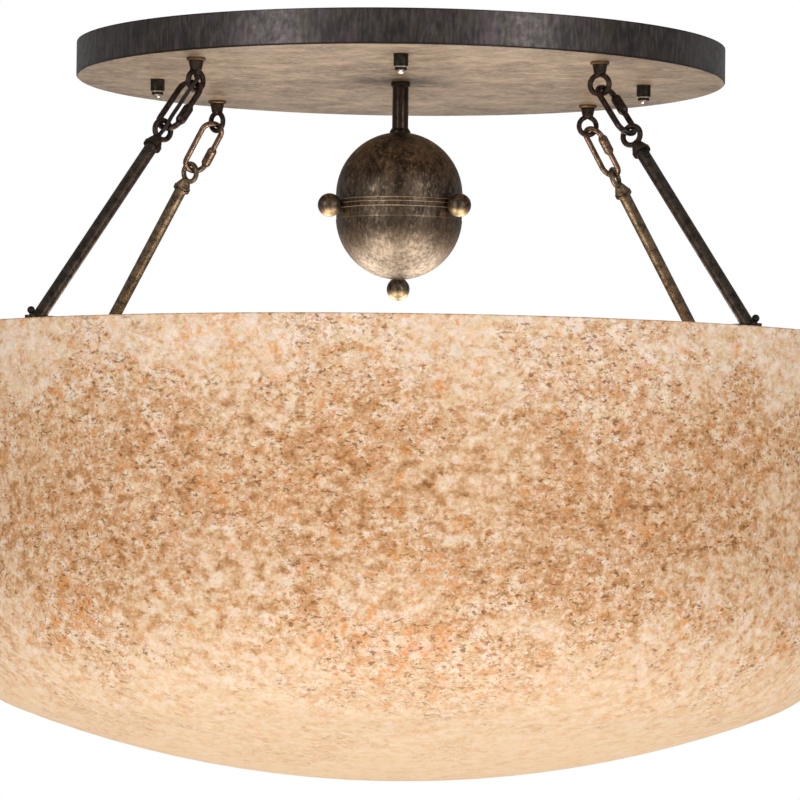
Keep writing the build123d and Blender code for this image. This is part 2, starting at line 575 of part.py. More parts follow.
def make_supply_cord(hanger):
    """The cord's three stretches: in the canopy, past the link, and down inside the rod."""
    mouth = hanger.eye_centre + Vector(0, 0, EYE_MEAN_RADIUS - EYE_WIRE_RADIUS + 1.0)
    corner = Vector(mouth.X, mouth.Y, CORD_CANOPY_LEVEL)
    inner_end = corner - hanger.out * CORD_CANOPY_REACH
    upper, upper_length = cord_tube([mouth, corner, inner_end], CORD_CANOPY_BEND)
    keep("supply_cord_canopy", upper)
    keep("wire_connector", Plane(origin=inner_end, z_dir=-hanger.out) * make_wire_connector())
    entry = hanger.rod_eye_centre + EYE_MEAN_RADIUS - EYE_WIRE_RADIUS + 1.0
    beside = EYE_WIRE_RADIUS + CORD_RADIUS + SEAT_GAP + CORD_RING_MARGIN
    seat = hanger.seat
    low = hanger.rod_eye_top
    route = [
        mouth,
        mouth - Vector(0, 0, CORD_MOUTH_RUN),
        hanger.at(seat - CORD_TURN_BEFORE, beside, 3.0),
        hanger.at(seat, beside, CORD_ACROSS),
        hanger.at(seat + CORD_BACK_AFTER, 1, 1),
        hanger.at(hanger.link_centre, 0.2, 0.2),
        hanger.at(low - CORD_BACK_AFTER, 1, 1),
        hanger.at(low, beside, CORD_ACROSS),
        hanger.at(low + CORD_TURN_BEFORE, beside, 2.6),
        hanger.at(entry - CORD_MOUTH_RUN),
        hanger.at(entry),
    ]
    past_link, past_link_length = cord_tube(route, cord_bends(route, 0.45))
    keep("supply_cord_link", past_link)
    end = hanger.along_at_level(FOOT_TOP) - 0.5 * FOOT_BOSS_LENGTH
    keep("supply_cord_rod", rod_between(hanger.at(entry), hanger.at(end), CORD_RADIUS))
    print("cord length", round(upper_length + past_link_length + end - entry, 1), "mm")


def make_wire_connector():
    """A twist-on wire connector along Z: its mouth takes the cord's end."""
    mouth_start = -CONNECTOR_BORE_DEPTH
    tip = mouth_start + CONNECTOR_LENGTH
    bore = CORD_RADIUS + CORD_CLEARANCE
    return turned([
        (bore, mouth_start), (CONNECTOR_RADIUS, mouth_start), (CONNECTOR_TIP_RADIUS, tip - 1.5),
        (CONNECTOR_TIP_RADIUS - 1.5, tip), (0, tip), (0, 0), (bore, 0),
    ])


# ---------------------------------------------------------------- bowl and lamp frame
def bowl_shoulder(inset):
    """Wall foot, shoulder middle and crown end of the bowl's profile, moved inward by inset."""
    draft = radians(BOWL_WALL_DRAFT)
    crown_centre = BOWL_BOTTOM + BOWL_CROWN_RADIUS
    shoulder = BOWL_SHOULDER_RADIUS
    start = (RIM_RADIUS - shoulder * cos(draft), LIP_TOP + shoulder * sin(draft))
    rise = start[1] - crown_centre
    slope = start[0] * sin(draft) + rise * cos(draft)
    reach = BOWL_CROWN_RADIUS - shoulder
    drop = slope + sqrt(slope**2 - start[0] ** 2 - rise**2 + reach**2)
    middle = (start[0] - drop * sin(draft), start[1] - drop * cos(draft))
    angle = asin(middle[0] / reach)
    radius = shoulder - inset
    wall_foot = (middle[0] + radius * cos(draft), middle[1] - radius * sin(draft))
    crown_end = (middle[0] + radius * sin(angle), middle[1] - radius * cos(angle))
    turn = (angle - pi / 2 - draft) / 2
    shoulder_point = (middle[0] + radius * cos(turn), middle[1] + radius * sin(turn))
    return wall_foot, shoulder_point, crown_end, crown_centre, angle


def make_bowl():
    """The bowl as one revolved wall with its inward lip."""
    edges = []
    draft = radians(BOWL_WALL_DRAFT)
    for inset in (0.0, BOWL_WALL):
        foot, mid, end, centre, angle = bowl_shoulder(inset)
        radius = BOWL_CROWN_RADIUS - inset
        bottom = (0, centre - radius)
        between = (radius * sin(angle / 2), centre - radius * cos(angle / 2))
        edges.append((foot, mid, end, between, bottom))
    outer, inner = edges
    rim = (RIM_RADIUS, LIP_TOP)
    inner_wall = RIM_RADIUS - BOWL_WALL / cos(draft) - LIP_THICKNESS * sin(draft) / cos(draft)

    def xz(point):
        return (point[0], 0, point[1])

    outline = [
        Line(xz(rim), xz(outer[0])),
        ThreePointArc(xz(outer[0]), xz(outer[1]), xz(outer[2])),
        ThreePointArc(xz(outer[2]), xz(outer[3]), xz(outer[4])),
        Line(xz(outer[4]), xz(inner[4])),
        ThreePointArc(xz(inner[4]), xz(inner[3]), xz(inner[2])),
        ThreePointArc(xz(inner[2]), xz(inner[1]), xz(inner[0])),
        Line(xz(inner[0]), (inner_wall, 0, LIP_BOTTOM)),
        Line((inner_wall, 0, LIP_BOTTOM), (LIP_INNER_RADIUS, 0, LIP_BOTTOM)),
        Line((LIP_INNER_RADIUS, 0, LIP_BOTTOM), (LIP_INNER_RADIUS, 0, LIP_TOP)),
        Line((LIP_INNER_RADIUS, 0, LIP_TOP), xz(rim)),
    ]
    return revolve(make_face(outline), Axis.Z)


def make_bowl_group():
    """Bowl, ring, lamp frame, lampholders and lamps."""
    knobs = circle_places(KNOB_SCREW_CIRCLE, 4, HANGER_FIRST_ANGLE)
    screws = circle_places(FOOT_SCREW_CIRCLE, 4, HANGER_FIRST_ANGLE)
    bowl = make_bowl()
    bowl = bored(bowl, knobs, KNOB_SCREW_SHANK_RADIUS + HOLE_CLEARANCE, LIP_BOTTOM - 1, LIP_TOP + 1)
    bowl = bored(bowl, screws, FOOT_SCREW_RADIUS + HOLE_CLEARANCE, LIP_BOTTOM - 1, LIP_TOP + 1)
    keep("bowl", bowl)
    ring = disc(RING_OUTER_RADIUS, RING_BOTTOM, LIP_BOTTOM)
    ring = ring - disc(RING_INNER_RADIUS, RING_BOTTOM - 1, LIP_BOTTOM + 1)
    ring = bored(ring, knobs, KNOB_SCREW_SHANK_RADIUS + THREAD_CLEARANCE, RING_BOTTOM - 1, LIP_BOTTOM + 1)
    ring = bored(ring, screws, FOOT_SCREW_RADIUS + HOLE_CLEARANCE, RING_BOTTOM - 1, LIP_BOTTOM + 1)
    bolts = circle_places(RING_BOLT_RADIUS, 4)
    ring = bored(ring, bolts, FRAME_BOLT_RADIUS + THREAD_CLEARANCE, RING_BOTTOM - 1, LIP_BOTTOM + 1)
    keep("support_ring", ring)
    length = 2 * (RING_BOLT_RADIUS + 0.8 * FRAME_BOLT_HEAD_WIDTH)
    size = (length, FRAME_BAR_WIDTH, FRAME_BAR_THICKNESS)
    lift = Pos(0, 0, FRAME_BOTTOM + FRAME_BAR_THICKNESS / 2)
    frame = lift * Box(*size) + lift * Rot(0, 0, 90) * Box(*size)
    lamps = circle_places(LAMP_CIRCLE_RADIUS, 4)
    frame = bored(frame, bolts, FRAME_BOLT_RADIUS + HOLE_CLEARANCE, FRAME_BOTTOM - 1, RING_BOTTOM + 1)
    frame = bored(frame, lamps, NIPPLE_RADIUS + THREAD_CLEARANCE, FRAME_BOTTOM - 1, RING_BOTTOM + 1)
    keep("lamp_frame", frame)
    head = hexagon(FRAME_BOLT_HEAD_WIDTH, FRAME_BOTTOM - FRAME_BOLT_HEAD_HEIGHT, FRAME_BOTTOM)
    bolt = head + disc(FRAME_BOLT_RADIUS, FRAME_BOTTOM - 0.5, LIP_BOTTOM)
    keep("frame_bolts", Compound(children=around(bolt, RING_BOLT_RADIUS, 4)))
    make_lampholders()


def make_lampholders():
    """Porcelain lampholders under the frame, their nipples and nuts, and the lamps."""
    bore_top = HOLDER_BOTTOM + HOLDER_BORE_DEPTH
    holder = turned([
        (0, FRAME_BOTTOM), (HOLDER_RADIUS * 0.62, FRAME_BOTTOM), (HOLDER_RADIUS * 0.7, FRAME_BOTTOM - 3),
        (HOLDER_RADIUS * 0.72, FRAME_BOTTOM - 12), (HOLDER_RADIUS, FRAME_BOTTOM - 17),
        (HOLDER_RADIUS, HOLDER_BOTTOM), (HOLDER_BORE_RADIUS, HOLDER_BOTTOM),
        (HOLDER_BORE_RADIUS, bore_top), (0, bore_top),
    ])
    nipple_end = FRAME_BOTTOM - 10
    holder = holder - disc(NIPPLE_RADIUS + THREAD_CLEARANCE, nipple_end, FRAME_BOTTOM + 1)
    holder = holder - disc(NIPPLE_BORE_RADIUS, bore_top - 1, FRAME_BOTTOM)
    keep("lampholders", Compound(children=around(holder, LAMP_CIRCLE_RADIUS, 4)))
    nut_top = RING_BOTTOM + NIPPLE_NUT_HEIGHT
    nipple = disc(NIPPLE_RADIUS, nipple_end, nut_top + 2)
    nipple = nipple - disc(NIPPLE_BORE_RADIUS, nipple_end - 1, nut_top + 3)
    nut = hexagon(NIPPLE_NUT_WIDTH, RING_BOTTOM, nut_top)
    nut = nut - disc(NIPPLE_RADIUS + THREAD_CLEARANCE, RING_BOTTOM - 1, nut_top + 1)
    fixings = around(nipple, LAMP_CIRCLE_RADIUS, 4) + around(nut, LAMP_CIRCLE_RADIUS, 4)
    keep("holder_fixings", Compound(children=fixings))
    lamp_top = bore_top - SEAT_GAP
    cap_bottom = lamp_top - LAMP_CAP_LENGTH
    lamp_bottom = lamp_top - LAMP_LENGTH
    globe = LAMP_GLOBE_RADIUS
    centre = lamp_bottom + globe
    skirt = HOLDER_BORE_RADIUS
    join = 35.0
    side = (globe * cos(radians(join)), centre + globe * sin(radians(join)))
    outline = [
        Line((0, 0, lamp_top), (LAMP_CAP_RADIUS * 0.5, 0, lamp_top)),
        Line((LAMP_CAP_RADIUS * 0.5, 0, lamp_top), (LAMP_CAP_RADIUS, 0, lamp_top - 4)),
        Line((LAMP_CAP_RADIUS, 0, lamp_top - 4), (LAMP_CAP_RADIUS, 0, cap_bottom)),
        Line((LAMP_CAP_RADIUS, 0, cap_bottom), (skirt + 0.5, 0, cap_bottom - 6)),
        Line((skirt + 0.5, 0, cap_bottom - 6), (side[0], 0, side[1])),
        ThreePointArc((side[0], 0, side[1]), (globe, 0, centre), (0, 0, lamp_bottom)),
        Line((0, 0, lamp_bottom), (0, 0, lamp_top)),
    ]
    lamp = revolve(make_face(outline), Axis.Z)
    for name, piece in zip(("front", "right", "back", "left"), around(lamp, LAMP_CIRCLE_RADIUS, 4)):
        keep(f"lamp_{name}", piece)


# ---------------------------------------------------------------- stem and ball
def make_stem():
    """Threaded pipe with its washers and nuts, and the collar, tube and foot that cover it."""
    washer_top = FLOOR_TOP + CENTRE_WASHER_THICKNESS
    pipe_top = washer_top + PIPE_NUT_HEIGHT + 4
    pipe_end = FINIAL_NECK_TOP - FINIAL_THREAD_DEPTH + 1
    pipe = disc(PIPE_RADIUS, pipe_end, pipe_top) - disc(PIPE_BORE_RADIUS, pipe_end - 1, pipe_top + 1)
    keep("centre_pipe", pipe)
    bore = PIPE_RADIUS + THREAD_CLEARANCE
    foot_bottom = -BALL_TOP_DROP + ball_sag(STEM_FOOT_RADIUS, BALL_RADIUS)
    collar_bottom = UNDERSIDE - STEM_COLLAR_HEIGHT
    foot_top = -BALL_TOP_DROP + STEM_FOOT_HEIGHT
    inside_top = -BALL_TOP_DROP - BALL_WALL
    through = disc(bore, pipe_end, pipe_top + 9)
    washer = disc(CENTRE_WASHER_RADIUS, FLOOR_TOP, washer_top) - through
    cap = disc(SHELL_WASHER_RADIUS, inside_top - 2, inside_top + 1) - through
    inner_ball = Pos(0, 0, BALL_UPPER_CENTRE) * Sphere(BALL_RADIUS - BALL_WALL - THREAD_CLEARANCE)
    keep("pipe_washers", Compound(children=[washer, cap & inner_ball]))
    nuts = [
        hexagon(PIPE_NUT_WIDTH, washer_top, washer_top + PIPE_NUT_HEIGHT),
        hexagon(PIPE_NUT_WIDTH, inside_top - 2 - PIPE_NUT_HEIGHT, inside_top - 2),
    ]
    keep("pipe_nuts", Compound(children=[nut - through for nut in nuts]))
    collar = turned([
        (bore, UNDERSIDE), (STEM_COLLAR_RADIUS - 1, UNDERSIDE), (STEM_COLLAR_RADIUS, UNDERSIDE - 1),
        (STEM_COLLAR_RADIUS, collar_bottom + 1.5), (STEM_COLLAR_RADIUS - 1.5, collar_bottom),
        (bore, collar_bottom),
    ])
    keep("stem_collar", collar)
    tube = disc(STEM_RADIUS, foot_top, collar_bottom) - disc(bore, foot_top - 1, collar_bottom + 1)
    keep("stem_tube", tube)
    flare = turned([
        (bore, foot_top), (STEM_RADIUS + 0.4, foot_top), (STEM_FOOT_RADIUS, -BALL_TOP_DROP + 0.8),
        (STEM_FOOT_RADIUS, -BALL_TOP_DROP - BALL_RADIUS), (bore, -BALL_TOP_DROP - BALL_RADIUS),
    ])
    keep("stem_foot_ring", flare - Pos(0, 0, BALL_UPPER_CENTRE) * Sphere(BALL_RADIUS))


def ball_sag(radius, ball):
    """How far a ball's surface lies below its top at a distance from the axis, as a negative."""
    return sqrt(ball**2 - radius**2) - ball


def half_shell(centre, cut_level, keep_above):
    """A hollow ball cut at a level, bored for the pipe."""
    shell = Pos(0, 0, centre) * (Sphere(BALL_RADIUS) - Sphere(BALL_RADIUS - BALL_WALL))
    size = 4 * BALL_RADIUS
    side = Align.MAX if keep_above else Align.MIN
    shell = shell - Pos(0, 0, cut_level) * Box(size, size, size, align=(Align.CENTER, Align.CENTER, side))
    return shell - disc(PIPE_RADIUS + THREAD_CLEARANCE, centre - size, centre + size)


def make_ball():
    """Upper shell, beaded band, lower shell, three side knobs and the finial."""
    keep("ball_upper_shell", half_shell(BALL_UPPER_CENTRE, BAND_TOP, True))
    keep("ball_lower_shell", half_shell(BALL_LOWER_CENTRE, BAND_BOTTOM, False))
    band = disc(BAND_RADIUS, BAND_BOTTOM, BAND_TOP)
    band = band - disc(BAND_RADIUS - BAND_WALL, BAND_BOTTOM - 1, BAND_TOP + 1)
    for drop in BAND_BEAD_DROPS:
        band = band + Pos(0, 0, BAND_TOP - drop) * Torus(BAND_RADIUS, BAND_BEAD_RADIUS)
    neck_start = BAND_RADIUS + BAND_BEAD_RADIUS + SEAT_GAP
    centre = neck_start + SIDE_KNOB_RADIUS - 0.6
    shank_end = BAND_RADIUS - SIDE_KNOB_SHANK_REACH
    for index, name in enumerate(("right", "back", "left")):
        place = Pos(0, 0, KNOB_LEVEL) * Rot(0, 0, SIDE_KNOB_FIRST_ANGLE + 120 * index)
        hole = SIDE_KNOB_SHANK_RADIUS + THREAD_CLEARANCE
        hole = rod_between((0, -BAND_RADIUS - 3, 0), (0, -BAND_RADIUS + BAND_WALL + 3, 0), hole)
        band = band - place * hole
        knob = rod_between((0, -neck_start, 0), (0, -centre, 0), SIDE_KNOB_NECK_RADIUS)
        knob = knob + Pos(0, -centre, 0) * Sphere(SIDE_KNOB_RADIUS)
        flat = Pos(0, -neck_start, 0) * Box(60, 60, 60, align=(Align.CENTER, Align.MIN, Align.CENTER))
        knob = (knob - flat) + rod_between((0, -shank_end, 0), (0, -centre, 0), SIDE_KNOB_SHANK_RADIUS)
        keep(f"side_knob_{name}", place * knob)
    keep("ball_band", band)
    bore = PIPE_RADIUS + THREAD_CLEARANCE
    neck_bottom = FINIAL_NECK_TOP - FINIAL_NECK_HEIGHT
    finial = Pos(0, 0, FINIAL_CENTRE) * Sphere(FINIAL_RADIUS)
    finial = finial - disc(2 * FINIAL_RADIUS, FINIAL_NECK_TOP, FINIAL_NECK_TOP + 20)
    finial = finial + disc(FINIAL_NECK_RADIUS, neck_bottom - 1, FINIAL_NECK_TOP)
    finial = finial - disc(bore, FINIAL_NECK_TOP - FINIAL_THREAD_DEPTH, FINIAL_NECK_TOP + 1)
    keep("finial", finial)


# ---------------------------------------------------------------- the whole light
def main():
    """Makes every piece and writes one file per node."""
    hangers = all_hangers()
    make_ceiling_cross()
    make_canopy(hangers)
    make_studs_and_nuts()
    make_hangers(hangers)
    make_supply_cord(hangers[CORD_HANGER])
    make_bowl_group()
    make_stem()
    make_ball()
    os.makedirs("parts", exist_ok=True)
    for name, shape in PARTS.items():
        export_step(shape, f"parts/{name}.step")
    print(len(PARTS), "nodes written")


main()
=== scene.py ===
# %% [markdown]
# # Semi flush ceiling light
# A shallow bronze drum hangs against the ceiling. Four eye bolts, quick links and slanting rods carry
# a wide bowl with an alabaster pattern, and a bronze ball hangs below the drum's middle.
#
# Every solid comes from the CAD model, so its size, its holes and its joints are already right.
# This script adds what CAD leaves out: the finish of each metal, the stone-like pattern of the bowl,
# a few soft edges, the light and the camera. It works in metres, in the frame of the CAD model:
# +Z is up, the ceiling is at z = 0 and the front of the light faces -Y.

# %% Load the CAD model
import json
from math import cos, radians, sin

import bpy
from mathutils import Matrix, Vector

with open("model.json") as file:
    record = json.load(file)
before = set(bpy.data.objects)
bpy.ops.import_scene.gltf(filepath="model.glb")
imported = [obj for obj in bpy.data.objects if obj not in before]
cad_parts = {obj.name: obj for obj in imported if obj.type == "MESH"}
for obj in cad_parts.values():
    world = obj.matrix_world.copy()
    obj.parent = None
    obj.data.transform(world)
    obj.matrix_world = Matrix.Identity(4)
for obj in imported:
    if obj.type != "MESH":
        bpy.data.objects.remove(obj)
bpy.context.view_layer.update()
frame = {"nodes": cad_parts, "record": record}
NODES = frame["nodes"]
print("pieces from CAD:", len(NODES))

# %% [markdown]
# ## Helpers for materials
# All finishes are procedural: they are built from noise and cell patterns in the object's own
# coordinates, so they stay the same from every side. Sizes are given in real millimetres and turned
# into pattern scales, and colours are written as sRGB hex and turned linear in one place. One function
# adds a shader node and sets or links its inputs. The others name what such nodes are used for here.

# %% Colour and node
MM_PER_M = 1000.0


def srgb(hex_colour):
    """An sRGB hex colour as linear RGBA."""
    channels = [int(hex_colour[i:i + 2], 16) / 255 for i in (1, 3, 5)]
    return [c / 12.92 if c <= 0.04045 else ((c + 0.055) / 1.055) ** 2.4 for c in channels] + [1.0]


def add(tree, kind, inputs=(), out=0, **settings):
    """Adds one shader node, sets it up, sets or links its inputs, and returns one of its outputs."""
    made = tree.nodes.new("ShaderNode" + kind)
    for name, value in settings.items():
        setattr(made, name, value)
    for key, value in dict(inputs).items():
        if isinstance(value, bpy.types.NodeSocket):
            tree.links.new(value, made.inputs[key])
        else:
            made.inputs[key].default_value = value
    return made.outputs[out]


def new_material(name):
    """An empty material and its node tree."""
    material = bpy.data.materials.new(name)
    material.use_nodes = True
    material.node_tree.nodes.clear()
    return material, material.node_tree


def finish_material(tree, inputs):
    """The surface shader with its inputs, joined to the material's output."""
    shader = add(tree, "BsdfPrincipled", inputs)
    surface = tree.nodes.new("ShaderNodeOutputMaterial")
    tree.links.new(shader, surface.inputs["Surface"])


print("white as linear colour:", srgb("#FFFFFF"))

# %% [markdown]
# A pattern starts from the point's place in the object. Generated coordinates would also do, but object
# coordinates are in metres, so a pattern keeps its real size on a large piece and on a small one.

# %% Places and patterns
def place(tree, stretch=(1, 1, 1), shift=0.0):
    """A point's place in the object, in metres, stretched and shifted to another part of a pattern."""
    here = add(tree, "TexCoord", out="Object")
    scaled = add(tree, "VectorMath", {0: here, 1: stretch}, operation="MULTIPLY")
    return add(tree, "VectorMath", {0: scaled, 1: (shift, 1.7 * shift, -shift)}, operation="ADD")


def noise(tree, where, size_mm, detail=3.0, roughness=0.55):
    """Soft cloudy noise from 0 to 1 whose main features are about size_mm wide."""
    inputs = {"Vector": where, "Scale": MM_PER_M / size_mm, "Detail": detail, "Roughness": roughness}
    return add(tree, "TexNoise", inputs)


def three_noises(tree, where, size_mm):
    """Three unrelated soft noises at once, as the channels of a colour."""
    inputs = {"Vector": where, "Scale": MM_PER_M / size_mm, "Detail": 2.0}
    return add(tree, "TexNoise", inputs, out="Color")


def cells(tree, where, size_mm, feature="F1", out="Distance"):
    """A cell pattern whose cells are about size_mm wide: edge distance or a colour per cell."""
    inputs = {"Vector": where, "Scale": MM_PER_M / size_mm}
    return add(tree, "TexVoronoi", inputs, out=out, feature=feature)


def shaken(tree, where, size_mm, by_mm):
    """The place moved about by noise, so that a regular pattern loses its straight edges."""
    offset = three_noises(tree, where, size_mm)
    centred = add(tree, "VectorMath", {0: offset, 1: (0.5, 0.5, 0.5)}, operation="SUBTRACT")
    reach = [by_mm / MM_PER_M * 2] * 3
    return add(tree, "VectorMath", {0: centred, 1: reach, 2: where}, operation="MULTIPLY_ADD")


print("one pattern unit is", MM_PER_M, "mm")

# %% [markdown]
# A noise is only a number from 0 to 1. These helpers turn it into a share, a colour or a bump. A level
# is the height of a point: it picks out a ridge or a rim without a mask painted by hand.

# %% Values, levels, colours and bumps
def spread(tree, value, low, high, to_low=0.0, to_high=1.0):
    """A value mapped smoothly from one range to another, and held at the ends."""
    inputs = {"Value": value, "From Min": low, "From Max": high, "To Min": to_low, "To Max": to_high}
    return add(tree, "MapRange", inputs, interpolation_type="SMOOTHSTEP")


def calc(tree, operation, a, b=0.0):
    """One sum of arithmetic on values."""
    return add(tree, "Math", {0: a, 1: b}, operation=operation)


def height_mm(tree):
    """The point's height in the frame at rest, in millimetres."""
    here = add(tree, "TexCoord", out="Object")
    z = add(tree, "SeparateXYZ", {0: here}, out=2)
    return calc(tree, "MULTIPLY", z, MM_PER_M)


def radius_mm(tree):
    """The point's distance from the middle axis, in millimetres."""
    here = add(tree, "TexCoord", out="Object")
    flat = add(tree, "VectorMath", {0: here, 1: (1, 1, 0)}, operation="MULTIPLY")
    length = add(tree, "VectorMath", {0: flat}, out="Value", operation="LENGTH")
    return calc(tree, "MULTIPLY", length, MM_PER_M)


def mix(tree, share, first, second, blend="MIX"):
    """Two colours mixed by a share from 0 to 1. Sockets 6 and 7 and output 2 are the node's colours."""
    return add(tree, "Mix", {0: share, 6: first, 7: second}, out=2, data_type="RGBA", blend_type=blend)


def bump(tree, height, depth_mm, strength=1.0):
    """A surface bump of a real depth."""
    return add(tree, "Bump", {"Height": height, "Distance": depth_mm / MM_PER_M, "Strength": strength})


print("helpers ready")

# %% [markdown]
# ## Patinated bronze
# Spun, cast and drawn brass of this kind is darkened in an acid bath, then rubbed back and waxed.
# That leaves a nearly black brown in the hollows, a warmer brown where it was rubbed, small greenish
# and rusty stains, and a roughness that changes from spot to spot. A picture of patina would need
# unwrapping and would repeat, so it is built from noise, and one maker builds them all. It mixes three
# sizes of mottling, adds fine grain to the bump, and lets each piece have its own colours, mottle size,
# streak direction and share of rubbed metal. A band of levels can have a colour of its own, such as
# the flange of an eye bolt. A metal keeps the default index of refraction.

# %% Maker of patinated bronze
GRAIN_MM = 0.9
BAND_EDGE_MM = 0.2


def patinated(name, dark, mid, rubbed, stain, mottle_mm, stretch=(1, 1, 1), rub=0.5,
              roughness=(0.34, 0.6), metal=0.85, depth_mm=0.05, shift=0.0, band=None):
    """A bronze with a mottled dark patina, rubbed lighter in places, and a colour of its own in a band of
    levels, which on the nuts is a painted highlight.
    """
    material, tree = new_material(name)
    where = place(tree, stretch, shift)
    loose = shaken(tree, where, mottle_mm, 0.35 * mottle_mm)
    broad = noise(tree, loose, mottle_mm, detail=5.0, roughness=0.65)
    small = noise(tree, loose, mottle_mm / 5, detail=4.0, roughness=0.7)
    grain = noise(tree, place(tree, shift=shift + 3), GRAIN_MM, detail=2.0)
    colour = mix(tree, spread(tree, broad, 0.36, 0.62), srgb(dark), srgb(mid))
    rubbed_share = calc(tree, "MULTIPLY", spread(tree, small, 0.52, 0.72), rub)
    colour = mix(tree, rubbed_share, colour, srgb(rubbed))
    stained = noise(tree, place(tree, stretch, shift + 7), mottle_mm * 1.6, detail=6.0, roughness=0.75)
    colour = mix(tree, spread(tree, stained, 0.58, 0.74, 0.0, 0.55), colour, srgb(stain))
    # The band gives the eye bolts' flanges a lighter colour and the nuts' rims a painted highlight.
    if band:
        low, high, band_colour = band
        level = height_mm(tree)
        above = spread(tree, level, low - BAND_EDGE_MM, low + BAND_EDGE_MM)
        below = spread(tree, level, high + BAND_EDGE_MM, high - BAND_EDGE_MM)
        inside = calc(tree, "MULTIPLY", above, below)
        inside = calc(tree, "MULTIPLY", inside, spread(tree, small, 0.3, 0.6, 0.6, 0.95))
        colour = mix(tree, inside, colour, srgb(band_colour))
    rough = spread(tree, small, 0.3, 0.75, roughness[1], roughness[0])
    raised = calc(tree, "ADD", calc(tree, "MULTIPLY", small, 0.7), calc(tree, "MULTIPLY", grain, 0.3))
    finish_material(tree, {
        "Base Color": colour, "Metallic": metal, "Roughness": rough,
        "Normal": bump(tree, raised, depth_mm),
    })
    return material


print("bronze grain, in mm:", GRAIN_MM)

# %% [markdown]
# The castings, links, rods and nuts differ by how they were made and handled. Drawn tube is smooth, so
# the rods have hardly any bump. The links and rods at the back are painted lighter, in copper and gold, as
# painted light from the lamps in the bowl.
# The flanges of the eye bolts are lighter bands, and the rims of the canopy nuts get a thin painted
# highlight.

# %% Bronze of the cast, bent and drawn pieces
EYE_FLANGE_MM = (-36.8, -33.9)
NUT_RIM_HIGHLIGHT_MM = (-46.8, -46.1)

CAST = patinated(
    "cast brass, oil-rubbed dark", "#241D19", "#453830", "#7E6854", "#54503F",
    mottle_mm=6, shift=1, band=(*EYE_FLANGE_MM, "#87694A"),
)
STEM = patinated(
    "turned brass tube, oil-rubbed dark", "#221B18", "#40342D", "#75604F", "#4A443A",
    mottle_mm=7, stretch=(1, 1, 0.4), roughness=(0.24, 0.4), depth_mm=0.02, shift=12,
)
LINK = patinated(
    "bent brass wire, oil-rubbed dark", "#261F1F", "#493D3A", "#907A6E", "#46403A",
    mottle_mm=5, rub=0.6, roughness=(0.26, 0.42), metal=0.92, shift=2,
)
# Painted light: the back links are a lighter copy, as lit by the lamps in the bowl.
LIT_LINK_BACK = patinated(
    "bent brass wire, painted as lit copper", "#44352B", "#846C5A", "#D0B69C", "#6A5C48",
    mottle_mm=5, rub=0.8, roughness=(0.28, 0.45), shift=2,
)
ROD = patinated(
    "drawn brass tube, brushed dark", "#2E2823", "#564A40", "#8C7C6A", "#5E523F",
    mottle_mm=9, roughness=(0.32, 0.44), depth_mm=0.004, shift=4,
)
# Painted light: the back rods are a lighter copy, as lit by the lamps in the bowl.
LIT_ROD_BACK = patinated(
    "drawn brass tube, painted as lit gold", "#4A4033", "#85745E", "#B09B7C", "#86744F",
    mottle_mm=9, rub=0.6, roughness=(0.42, 0.56), depth_mm=0.004, shift=4,
)
# The thin bright band on each nut's rim is a painted highlight.
NUT = patinated(
    "turned brass, dark plated", "#1F1B18", "#3B3731", "#6B6354", "#46463A",
    mottle_mm=4, rub=0.4, shift=5, band=(*NUT_RIM_HIGHLIGHT_MM, "#E8DCC8"),
)
print("bronze materials:", [m.name for m in (CAST, STEM, LINK, LIT_LINK_BACK, ROD, LIT_ROD_BACK, NUT)])

# %% [markdown]
# ## The spun ball
# The two shells and the band are spun brass. The patina ran down them while it was wet, so the
# mottling is drawn out along Z, with green and rust in patches. The lower half is paler, and the knobs
# and the finial are bright underneath: the shells get a painted reflection of the lit bowl there, on
# rougher, less metallic metal, and the knobs and the finial a painted highlight of pale brass. The
# ridges of the band show as thin golden lines. The height in the frame and the distance from the axis
# tell these parts of one material apart.

# %% Parts of the ball, in millimetres of the frame
SHELL_REACH_MM = 64.4  # only the side knobs reach further out
SHELL_BOTTOM_MM = -232.6  # only the finial hangs lower
LIT_LOWER_HALF_MM = (-172, -226)  # from no painted reflection to the full painted reflection
KNOB_MM = (-161, -172)  # middle and bottom of a side knob
FINIAL_MM = (-242, -253)  # middle and bottom of the finial
RIDGE_LEVELS_MM = (-154.2, -157.9, -162.6)
BAND_EDGE_LEVEL_MM = -172.9


def ridge_lines(tree, level, shell):
    """One on the crests of the band's ridges, and a half on its lower edge."""
    crest = 0.0
    for crest_level in RIDGE_LEVELS_MM:
        near = calc(tree, "ABSOLUTE", calc(tree, "SUBTRACT", level, crest_level))
        crest = calc(tree, "MAXIMUM", crest, spread(tree, near, 0.7, 0.2))
    edge = calc(tree, "ABSOLUTE", calc(tree, "SUBTRACT", level, BAND_EDGE_LEVEL_MM))
    crest = calc(tree, "MAXIMUM", crest, spread(tree, edge, 0.6, 0.2, 0, 0.5))
    return calc(tree, "MULTIPLY", crest, shell)


def underside_highlights(tree, level, reach):
    """One at the bottom of the side knobs and of the finial, where the painted highlight goes, and zero
    from their middles up.
    """
    finial = calc(tree, "LESS_THAN", level, SHELL_BOTTOM_MM)
    beside = calc(tree, "GREATER_THAN", reach, SHELL_REACH_MM)
    under_finial = calc(tree, "MULTIPLY", finial, spread(tree, level, *FINIAL_MM))
    under_knobs = calc(tree, "MULTIPLY", beside, spread(tree, level, *KNOB_MM))
    return calc(tree, "ADD", under_finial, under_knobs)


print("ridges of the band at, in mm:", RIDGE_LEVELS_MM)
